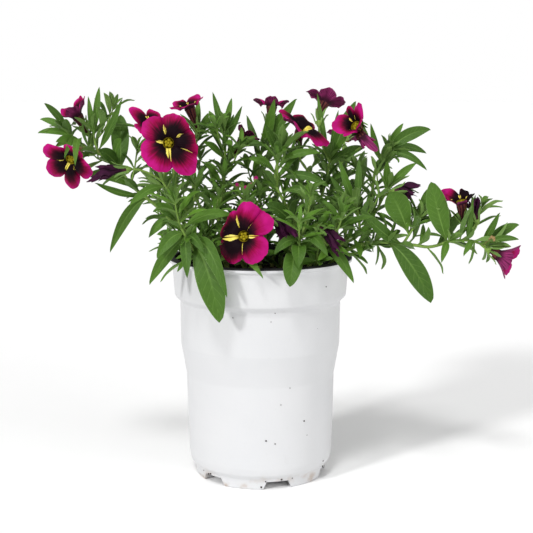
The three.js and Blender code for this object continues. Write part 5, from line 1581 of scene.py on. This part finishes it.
def corolla(bloom, index, material):
    """A corolla: throat, limb of five lobes, its back and the ribbed tube, one thin closed skin."""
    stalk = bloom_frame(bloom)
    habit = HABITS.get(bloom.name, PLAIN)
    f = limb_frame(stalk, habit)
    draw = np.random.default_rng(PETAL_SEED + index).uniform
    lobes = Lobes(f, habit, draw)
    turns, near = lobes.turns, lobes.near
    opening = bloom.opening + lobes.blend(habit.uneven * draw(-1, 1, LOBES) + (habit.leans or 0))
    reaches = habit.reaches or draw(*REACH_RANGE, LOBES)
    stains = habit.stains or draw(*STAIN_RANGE, LOBES)
    wedges = habit.wedges or [[draw(*ends) for ends in WEDGE_RANGES] for _ in range(LOBES)]
    rounding = np.cos(np.pi / 2 * lobes.local) ** LOBE_ROUNDING
    gaps = lobes.nearest_seam(habit.gaps or [habit.depth] * LOBES)
    margin = lobes.blend(reaches) * (1 - gaps * (1 - rounding))
    margin = margin * (1 + 0.012 * np.sin(turns * 17 + index) + 0.01 * np.sin(turns * 29 + 2 * index))
    first_phase, second_phase, _ = draw(0, 2 * np.pi, 3)
    ruffle = np.sin(turns * 8 + first_phase) + 0.6 * np.sin(turns * 13 + second_phase)
    tint = draw(*TINT_RANGE)
    rows, looks = [], []

    def limb(share, drop):
        """A ring of the limb at a share of the way from the throat to the margin."""
        r, h = limb_at(f.reach, share * margin, opening)
        rolled = habit.roll * share**4 * near**2
        rise = share**2 * habit.ruffle * ruffle * 0.5
        rise = rise + BULGE * math.sin(math.pi * min(1, share * 1.1)) * (1 - near**2)
        rise = rise - CREASE * share * np.exp(-(((1 - near) / CREASE_WIDTH) ** 2)) - rolled
        return r - f.reach * 0.5 * rolled, h + f.reach * rise - drop

    def add_row(r, h, share, back, kind=LIMB, down=0):
        """A ring about the limb's axis, or a share down of the way from it to the stalk's."""
        ring, low_ring = (
            circle(axes.middle + axes.way * (h + 0 * turns)[:, None], axes.across, axes.up, r, turns)
            for axes in (f, stalk)
        )
        rows.append(mix(ring, low_ring, down))
        looks.append((share, back, kind))

    sunk = (stalk.middle - f.middle) @ stalk.way
    aside = np.linalg.norm(stalk.middle - f.middle - sunk * stalk.way)
    deep = min(THROAT_DEPTH, max(1, TUBE_LENGTH - 5 - sunk), 1 + 20 / max(1, aside))
    deep = deep * max(0.3, f.way @ stalk.way)
    for depth in THROAT_STATIONS:
        add_row(THROAT_RADIUS * (0.98 - THROAT_NARROWING * depth**1.5), -deep * depth, 0, 0)
    limb_shares = np.arange(LIMB_ROWS + 1) / LIMB_ROWS
    for share in limb_shares:
        add_row(*limb(share, 0), max(share, 0.01), 0)
    for share in limb_shares[:0:-1]:
        add_row(*limb(share * 0.995, PETAL * min(1, 4 * (1.04 - share))), share, 1)
    mouth, _ = limb(0, 0)
    for t in TUBE_STATIONS:
        swell = mix(mouth + 0.35, TUBE_BASE_RADIUS, t**0.75)
        ribs = 1 + TUBE_RIB * np.cos(np.pi * 2 * lobes.local) * math.sin(math.pi * min(1, t + 0.15))
        add_row(swell * ribs, mix(-0.6, -TUBE_LENGTH, t), 0.02, 1, TUBE, smooth(0, 1, t))
    shares, backs, kinds = np.array(looks).T[..., None]
    shape = shares.size, COLUMNS
    paint = painted(shape, shares, lobes.local * 0.5 + 0.5, backs, tint)
    mark = painted(shape, *lobes.nearest_seam(wedges).T, lobes.blend(stains))
    first, last = f.middle - f.way * deep * 1.02, stalk.middle - stalk.way * TUBE_LENGTH
    piece = Piece()
    piece.add_spindle(first, rows, last, paint, painted(shape, kinds)[:, 0], mark)
    stamens(piece, f, deep)
    piece.build(bloom.name.replace("bloom", "flower"), bloom.name, [material], 60)


ANTHER_LOOK = (0.02, 0.5, 0, 0.5), ANTHER
FILAMENT_RADIUS = 0.2
# Each anther's distance from the axis, turn, height and size, and the stigma's.
ANTHERS = [(1.55, turn + 0.3, -0.75, 1.05) for turn in ring_turns(5)]
STIGMA = (0, 0, -0.3, 0.8)


def stamens(piece, f, deep):
    """Five anthers in a ring and the stigma between them, on stalks from the throat's bottom."""
    turns = ring_turns(8)
    for r, turn, height, size in (*ANTHERS, STIGMA):
        middle = circle(f.middle, f.across, f.up, r, turn) + f.way * height
        rings = []
        for t in (-0.8, -0.35, 0.15, 0.6, 0.88):
            width = size * math.sqrt(1 - t * t) * (1 + 0.12 * np.cos(3 * turns))
            rings.append(circle(middle + f.way * size * 0.8 * t, f.across, f.up, width, turns))
        piece.add_spindle(middle - f.way * size * 0.85, rings, middle + f.way * size * 0.8, *ANTHER_LOOK)
        foot = circle(f.middle, f.across, f.up, r * 0.4, turn) - f.way * deep * 0.97
        line = np.array([mix(foot, middle - f.way * size * 0.5, t) for t in (0, 0.5, 1)])
        round_bar(piece, line, FILAMENT_RADIUS, *ANTHER_LOOK, 5)


# ---------------------------------------------------------------- wilted corollas

WILTED_COLUMNS = 80
WILTED_ROWS = 34
WILTED_SEED = PETAL_SEED + 100
PLEAT_DEPTH = 0.68
TWIST = 1.1
LOBE_LENGTHS = (0.1, 0.34)  # the least and the most, as shares of twice the flower's length
WILTED_TINT_RANGE = (0.2, 0.9)
# A wilted corolla's girth, as shares of its greatest radius, at shares of its length.
GIRTH_STATIONS = (0, 0.25, 0.45, 0.62, 0.8, 0.92, 1)
GIRTHS = (0.24, 0.36, 0.62, 0.86, 0.95, 1, 0.95)
CRUMPLE = 0.55
CRUMPLE_WAYS = [
    (1, 0.4, 0.2), (-0.3, 1, 0.5), (0.6, -0.2, 1), (0.1, 0.9, -0.7), (-0.8, 0.3, 0.6), (0.5, 0.7, 0.4),
]


def crumple(points, scale, phases):
    """A smooth, unordered shift of points, from -1 to 1 on each axis."""
    waves = [np.sin(points @ vec(*way) * scale + phase) for way, phase in zip(CRUMPLE_WAYS, phases)]
    return np.stack([waves[0] + waves[1], waves[2] + waves[3], waves[4] + waves[5]], -1) / 2


def shrivelled(wilt, index, material):
    """A wilted corolla: a twisted, pleated bag whose mouth has dried to five ragged lobes."""
    draw = np.random.default_rng(WILTED_SEED + index).uniform
    turns = ring_turns(WILTED_COLUMNS)
    length = np.linalg.norm(at(wilt.tip) - at(wilt.base))
    p, q = draw(0, 2 * np.pi, 2)
    lobe_length = draw(*LOBE_LENGTHS, LOBES)[(turns * LOBES / (2 * np.pi) + 0.5).astype(int) % LOBES]
    tint = draw(*WILTED_TINT_RANGE)
    pleat = np.abs(np.cos(turns * LOBES / 2))
    ragged = 1 + 0.3 * np.sin(11 * turns + p) * np.sin(7 * turns + q)
    shares = np.linspace(0, 1, WILTED_ROWS)
    depths = smooth(0.1, 0.7, shares) * PLEAT_DEPTH
    rows = []
    for t, deep in zip(shares, depths):
        way = unit(wilt_middle(wilt, t + 0.02) - wilt_middle(wilt, t - 0.02))
        creases = 0.5 * np.sin(9 * turns + 5 * t + p) + 0.5 * np.sin(14 * turns - 8 * t + q)
        r = 1 - deep * (1 - pleat) + 0.12 * smooth(0.1, 0.5, t) * creases
        r = r * wilt.radius * np.interp(t, GIRTH_STATIONS, GIRTHS)
        lobes = smooth(0.5, 1, t) * length * (2 * lobe_length * ragged * pleat**2 - 0.3)
        middle = wilt_middle(wilt, t) + way * lobes[:, None]
        rows.append(circle(middle, *square_to(way), r, turns + TWIST * t))
    rows = np.array(rows)
    shift = crumple(rows, 0.9, draw(0, 2 * np.pi, 6)) + 0.6 * crumple(rows, 2.1, draw(0, 2 * np.pi, 6))
    rows = rows + shift * CRUMPLE * smooth(0.25, 0.8, shares)[:, None, None]
    # how deep each point lies in a fold, which sets the painted shade that darkens the folds
    fold_shade = (1 - pleat) * depths[:, None] * 1.6
    paint = painted(rows.shape[:2], shares[:, None], np.abs(turns / np.pi - 1), fold_shade, tint)
    paint[-1] = paint[-1 - WILTED_COLUMNS]
    piece = Piece()
    piece.add_spindle(at(wilt.base), rows, wilt_middle(wilt, 0.66), paint)
    piece.build(wilt.name + "_flower", wilt.name, [material], 70)


# ---------------------------------------------------------------- pot and potting mix

POT_COLUMNS = 180
POT_DENT = 0.45
POT_ROUNDING = 0.9
POT_ROW = 3.2
POT_SHARP_DEG = 35
DARK_EDGE = 1  # how far the black of the inside comes down over the lip
# Crumbs of mix stuck on the pot, each as x and z on the front elevation and its size.
SPECKS = [
    [8.7, 95.8, 0.4], [17.7, 49.9, 0.3], [12.3, 39.4, 0.3], [26.3, 29.4, 0.5], [3.3, 16.9, 0.45],
    [8.8, 15, 0.35], [28.1, 20.6, 0.25], [37.9, 4.3, 0.45], [6.3, 90.4, 0.3], [34, 86.4, 0.3],
    [38.9, 111.7, 0.35], [-16.4, 92.9, 0.3],
]
FOOT_CRUMBS = 22
FOOT_CRUMB_SIZES = (0.3, 0.7)
SPECK_SEED = 78
SOIL_SEED = 77
SOIL_COLUMNS = 120
SOIL_RINGS = 42
SOIL_CRUMBS = 420
SOIL_CRUMB_LEAST, SOIL_CRUMB_SPREAD = 0.35, 1.2
SOIL_WAVES = (0.25, 0.5, 0.9, 1.4, 2.1, 2.9)
SOIL_ROUGHNESS = 0.45
SOIL_GRAIN = 0.3
SOIL_RIM = COLLAR_FOOT_RADIUS - WALL + 0.2


def pot_outline():
    """The pot's outline as radius and height: up its outside from under the floor, and down inside."""
    top = POT_HEIGHT
    outside = [
        (0, BASE_HEIGHT - WALL), (FOOT_INNER_RADIUS, BASE_HEIGHT - WALL), (FOOT_INNER_RADIUS + 1, 0),
        (FOOT_RADIUS, 0), (BASE_RADIUS, BASE_HEIGHT), (HEEL_RADIUS - 0.8, BASE_HEIGHT + 2.5),
        (HEEL_RADIUS, HEEL_HEIGHT), (WAIST_RADIUS, WAIST_HEIGHT), (BODY_TOP_RADIUS - 0.4, SHOULDER_HEIGHT),
        (BODY_TOP_RADIUS, STEP_HEIGHT), (COLLAR_FOOT_RADIUS, COLLAR_FOOT_HEIGHT),
        (COLLAR_TOP_RADIUS, top - LIP_DEPTH), (LIP_RADIUS, top - LIP_DEPTH + 0.4),
        (LIP_RADIUS, top - DARK_EDGE), (LIP_RADIUS, top - 0.4), (LIP_RADIUS - 0.8, top),
    ]
    inside = [
        (COLLAR_TOP_RADIUS - WALL, top), (COLLAR_FOOT_RADIUS - WALL, COLLAR_FOOT_HEIGHT + 0.6),
        (BODY_TOP_RADIUS - WALL, STEP_HEIGHT - 0.6), (BODY_TOP_RADIUS - WALL - 0.4, SHOULDER_HEIGHT),
        (WAIST_RADIUS - WALL, WAIST_HEIGHT), (HEEL_RADIUS - WALL, HEEL_HEIGHT),
        (HEEL_RADIUS - WALL - 2, FLOOR_TOP), (0, FLOOR_TOP),
    ]
    return np.array(outside, float), np.array(inside, float)


def arc_corner(before, corner, after, radius):
    """A rounded corner of an outline."""
    a, b = unit(before - corner) * radius + corner, unit(after - corner) * radius + corner
    t = np.linspace(0, 1, 4)[:, None]
    return (1 - t) ** 2 * a + 2 * t * (1 - t) * corner + t * t * b


def eased(outline):
    """An outline with its corners rounded and its long stretches cut up."""
    points = [outline[0]]
    for before, corner, after in zip(outline, outline[1:], outline[2:]):
        span = min(np.linalg.norm(before - corner), np.linalg.norm(after - corner))
        points.extend(arc_corner(before, corner, after, min(POT_ROUNDING, span * 0.45)))
    points.append(outline[-1])
    full = [points[0]]
    for a, b in zip(points, points[1:]):
        cuts = max(1, math.ceil(np.linalg.norm(b - a) / POT_ROW))
        full.extend(mix(a, b, j / cuts) for j in range(1, cuts + 1))
    return np.array(full)


def foot_cutters():
    """What is cut away between the feet and for the drain holes, as one object."""
    piece = Piece()
    half = FOOT_RADIUS * math.sin(math.radians(FOOT_NOTCH_DEG / 2))
    narrow, height = half * NOTCH_TAPER, BASE_HEIGHT - WALL
    for i in range(FOOT_COUNT):
        turn = math.radians(FIRST_NOTCH_DEG + 360 / FOOT_COUNT * i)
        out, side = level_ring(1, 0, turn), level_ring(1, 0, turn + np.pi / 2)
        outline = ((-half, -1), (half, -1), (narrow, height), (-narrow, height))
        notch = [
            [out * r + side * x + vec(0, 0, z) for x, z in outline]
            for r in (FOOT_INNER_RADIUS - 2, FOOT_RADIUS + 9)
        ]
        drain = [
            circle(out * DRAIN_CIRCLE + vec(0, 0, z), out, side, DRAIN_RADIUS, ring_turns(24))
            for z in (1, 20)
        ]
        for ends in (notch, drain):
            piece.add_spindle(np.mean(ends[0], axis=0), ends, np.mean(ends[1], axis=0))
    return piece.make_object("foot_cutters", [], POT_SHARP_DEG)


def pot_piece(materials):
    """The pot, a little out of round, white outside and black inside, with its notches and holes."""
    outside, inside = pot_outline()
    outer, inner = eased(outside)[1:], eased(inside)[:-1]
    r, z = np.vstack([outer, inner]).T[..., None]
    turns = ring_turns(POT_COLUMNS)
    dent = POT_DENT * smooth(14, 40, z) * smooth(126, 100, z)
    dent = dent * (np.sin(2 * turns + 0.6 + z * 0.02) * 0.5 + np.sin(3 * turns + 2 + z * 0.035) * 0.3)
    piece = Piece()
    piece.add_spindle(vec(0, 0, BASE_HEIGHT - WALL), level_ring(r + dent, z, turns), vec(0, 0, FLOOR_TOP))
    dark_from = np.argmax((outer[:, 0] > COLLAR_TOP_RADIUS) & (outer[:, 1] > POT_HEIGHT - DARK_EDGE))
    white, black = POT_COLUMNS * dark_from, len(piece.faces[0]) - POT_COLUMNS * dark_from
    is_black = np.repeat([0, 1, 0, 1], [white, black, POT_COLUMNS, POT_COLUMNS])
    pot = piece.build("nursery_pot", "pot", materials, POT_SHARP_DEG, is_black)
    cutters = foot_cutters()
    cut = pot.modifiers.new("feet", "BOOLEAN")
    cut.operation, cut.solver, cut.object = "DIFFERENCE", "EXACT", cutters
    shaped = bpy.data.meshes.new_from_object(pot.evaluated_get(bpy.context.evaluated_depsgraph_get()))
    pot.modifiers.clear()
    pot.data = shaped
    shaped.set_sharp_from_angle(angle=math.radians(POT_SHARP_DEG))
    bpy.data.objects.remove(cutters)


def specks_piece(material):
    """Crumbs of the mix stuck on the pot's outside and at the notches of its foot."""
    numbers = np.random.default_rng(SPECK_SEED)
    outside, _ = pot_outline()
    wall_radius, wall_height = outside[3:12].T  # from the ground to under the lip
    piece = Piece()
    for x, z, size in SPECKS:
        y = -BODY_TOP_RADIUS
        for _ in range(4):
            point = at([x, z, y])
            y = -math.sqrt(np.interp(point[2], wall_height, wall_radius) ** 2 - point[0] ** 2)
        lump(piece, vec(point[0], y, point[2]), size, numbers)
    half = FOOT_NOTCH_DEG / 2
    for i in range(FOOT_CRUMBS):
        notch = FIRST_NOTCH_DEG + 360 / FOOT_COUNT * (i % FOOT_COUNT)
        turn = math.radians(notch + half * numbers.uniform(-1.3, 1.3))
        low = 0.4 if abs(math.degrees(turn) - notch) > half else BASE_HEIGHT - WALL
        z = low + numbers.uniform(0, 1.4)
        r = np.interp(z, (0, BASE_HEIGHT), (FOOT_RADIUS, BASE_RADIUS))
        size = numbers.uniform(*FOOT_CRUMB_SIZES)
        lump(piece, level_ring(r, z, turn), size, numbers)
    piece.build("mix_specks", "soil", [material], 40)


def soil_height(r):
    return SOIL_TOP + SOIL_CROWN * (1 - (r / SOIL_RIM) ** 2)


def soil_piece(material):
    """The potting mix: a crumbly top, and the sides and bottom that the pot hides."""
    numbers = np.random.default_rng(SOIL_SEED)
    turns = ring_turns(SOIL_COLUMNS)
    _, inside = pot_outline()
    rows = [level_ring(r - GAP, z, turns) for r, z in inside[-2:0:-1] if z < SOIL_TOP]
    rows[0] = rows[0] + vec(0, 0, GAP)
    phases = numbers.uniform(0, 2 * np.pi, 12)
    for r in np.linspace(SOIL_RIM, 0.8, SOIL_RINGS):
        x, y, _ = level_ring(r, 0, turns).T
        rough = sum(
            np.sin(x * f * math.cos(p) + y * f * math.sin(p) + 3 * p) / n
            for n, (f, p) in enumerate(zip(SOIL_WAVES, phases), 1)
        )
        grain = numbers.uniform(-SOIL_GRAIN, SOIL_GRAIN, SOIL_COLUMNS)
        z = soil_height(r) - 0.9 + SOIL_ROUGHNESS * rough + grain
        rows.append(level_ring(r, z, turns))
    piece = Piece()
    piece.add_spindle(vec(0, 0, FLOOR_TOP + GAP), rows, vec(0, 0, SOIL_TOP + SOIL_CROWN - 0.6))
    for _ in range(SOIL_CRUMBS):
        r, turn = SOIL_RIM * 0.97 * math.sqrt(numbers.random()), numbers.uniform(0, 2 * np.pi)
        size = SOIL_CRUMB_LEAST + SOIL_CRUMB_SPREAD * numbers.random() ** 2
        lump(piece, level_ring(r, soil_height(r) - 0.3, turn), size, numbers)
    piece.build("potting_mix", "soil", [material], 40)


# ---------------------------------------------------------------- camera, light and floor

PHOTO_SIDE = 533  # pixels
FOCAL_PIXELS = 1117
SENSOR = 36
PITCH_DEG = 8.72
SKY_POWER = 0.47
# Each lamp: its name, the way to it from the pot, how wide it is in degrees and its power.
LAMPS = [
    ("key", (-0.68, -0.66, 0.46), 8, 1.65),
    ("top", (-0.15, -0.5, 0.85), 12, 1.05),
    ("fill", (0.76, -0.62, 0.2), 40, 1.1),
]
# The floor's thickness, and its rings as radius and height.
FLOOR_DEPTH = 20
FLOOR_RINGS = [(40000, -FLOOR_DEPTH), (40000, 0), (1500, 0), (400, 0)]


def set_up_camera():
    camera = bpy.data.cameras.new("camera")
    camera.sensor_width = SENSOR
    camera.lens = SENSOR * FOCAL_PIXELS / PHOTO_SIDE
    eye = bpy.data.objects.new("camera", camera)
    eye.location = AXIS + np.array(EYE) * MM
    eye.rotation_euler = (math.radians(90 - PITCH_DEG), 0, 0)
    bpy.context.collection.objects.link(eye)
    bpy.context.scene.camera = eye


def set_up_light():
    """A low lamp from the left, two soft ones from above and from the right, and a white studio."""
    for name, way, spread, power in LAMPS:
        light = bpy.data.lights.new(name, "SUN")
        light.energy, light.angle = power, math.radians(spread)
        lamp = bpy.data.objects.new(name, light)
        lamp.rotation_euler = (math.atan2(math.hypot(way[0], way[1]), way[2]), 0, math.atan2(way[0], -way[1]))
        bpy.context.collection.objects.link(lamp)
    world = bpy.data.worlds.new("studio")
    world.use_nodes = True
    nodes, links = world.node_tree.nodes, world.node_tree.links
    sky = nodes["Background"]
    sky.inputs["Color"].default_value = (1, 1, 1, 1)
    # the sky is seen white, and lights the plant with less
    seen = nodes.new("ShaderNodeLightPath").outputs["Is Camera Ray"]
    strength = nodes.new("ShaderNodeMath")
    strength.operation = "MULTIPLY_ADD"
    strength.inputs[1].default_value = 1 - SKY_POWER
    strength.inputs[2].default_value = SKY_POWER
    links.new(seen, strength.inputs[0])
    links.new(strength.outputs[0], sky.inputs["Strength"])
    bpy.context.scene.world = world
    bpy.context.scene.view_settings.view_transform = "Standard"


def lay_floor():
    """A wide round floor."""
    piece = Piece()
    rows = [level_ring(r, z, ring_turns(96)) for r, z in FLOOR_RINGS]
    piece.add_spindle(vec(0, 0, -FLOOR_DEPTH), rows, vec(0, 0, 0))
    piece.make_object("floor", [floor_material()], 50)


# ---------------------------------------------------------------- the scene


def main():
    set_up_camera()
    set_up_light()
    lay_floor()
    plan = lay_out()
    fill_out(plan)
    pot_piece([pot_material(), pot_inside_material()])
    peat = mix_material()
    soil_piece(peat)
    specks_piece(peat)
    leaves = foliage_material()
    for index, (name, grown) in enumerate(plan.items()):
        stem_piece(name, grown, FOLIAGE_SEED + index, leaves)
    petals = petal_material()
    for index, bloom in enumerate(BLOOMS):
        corolla(bloom, index, petals)
    wilted = wilted_material()
    for index, wilt in enumerate(WILTED):
        shrivelled(wilt, index, wilted)


main()
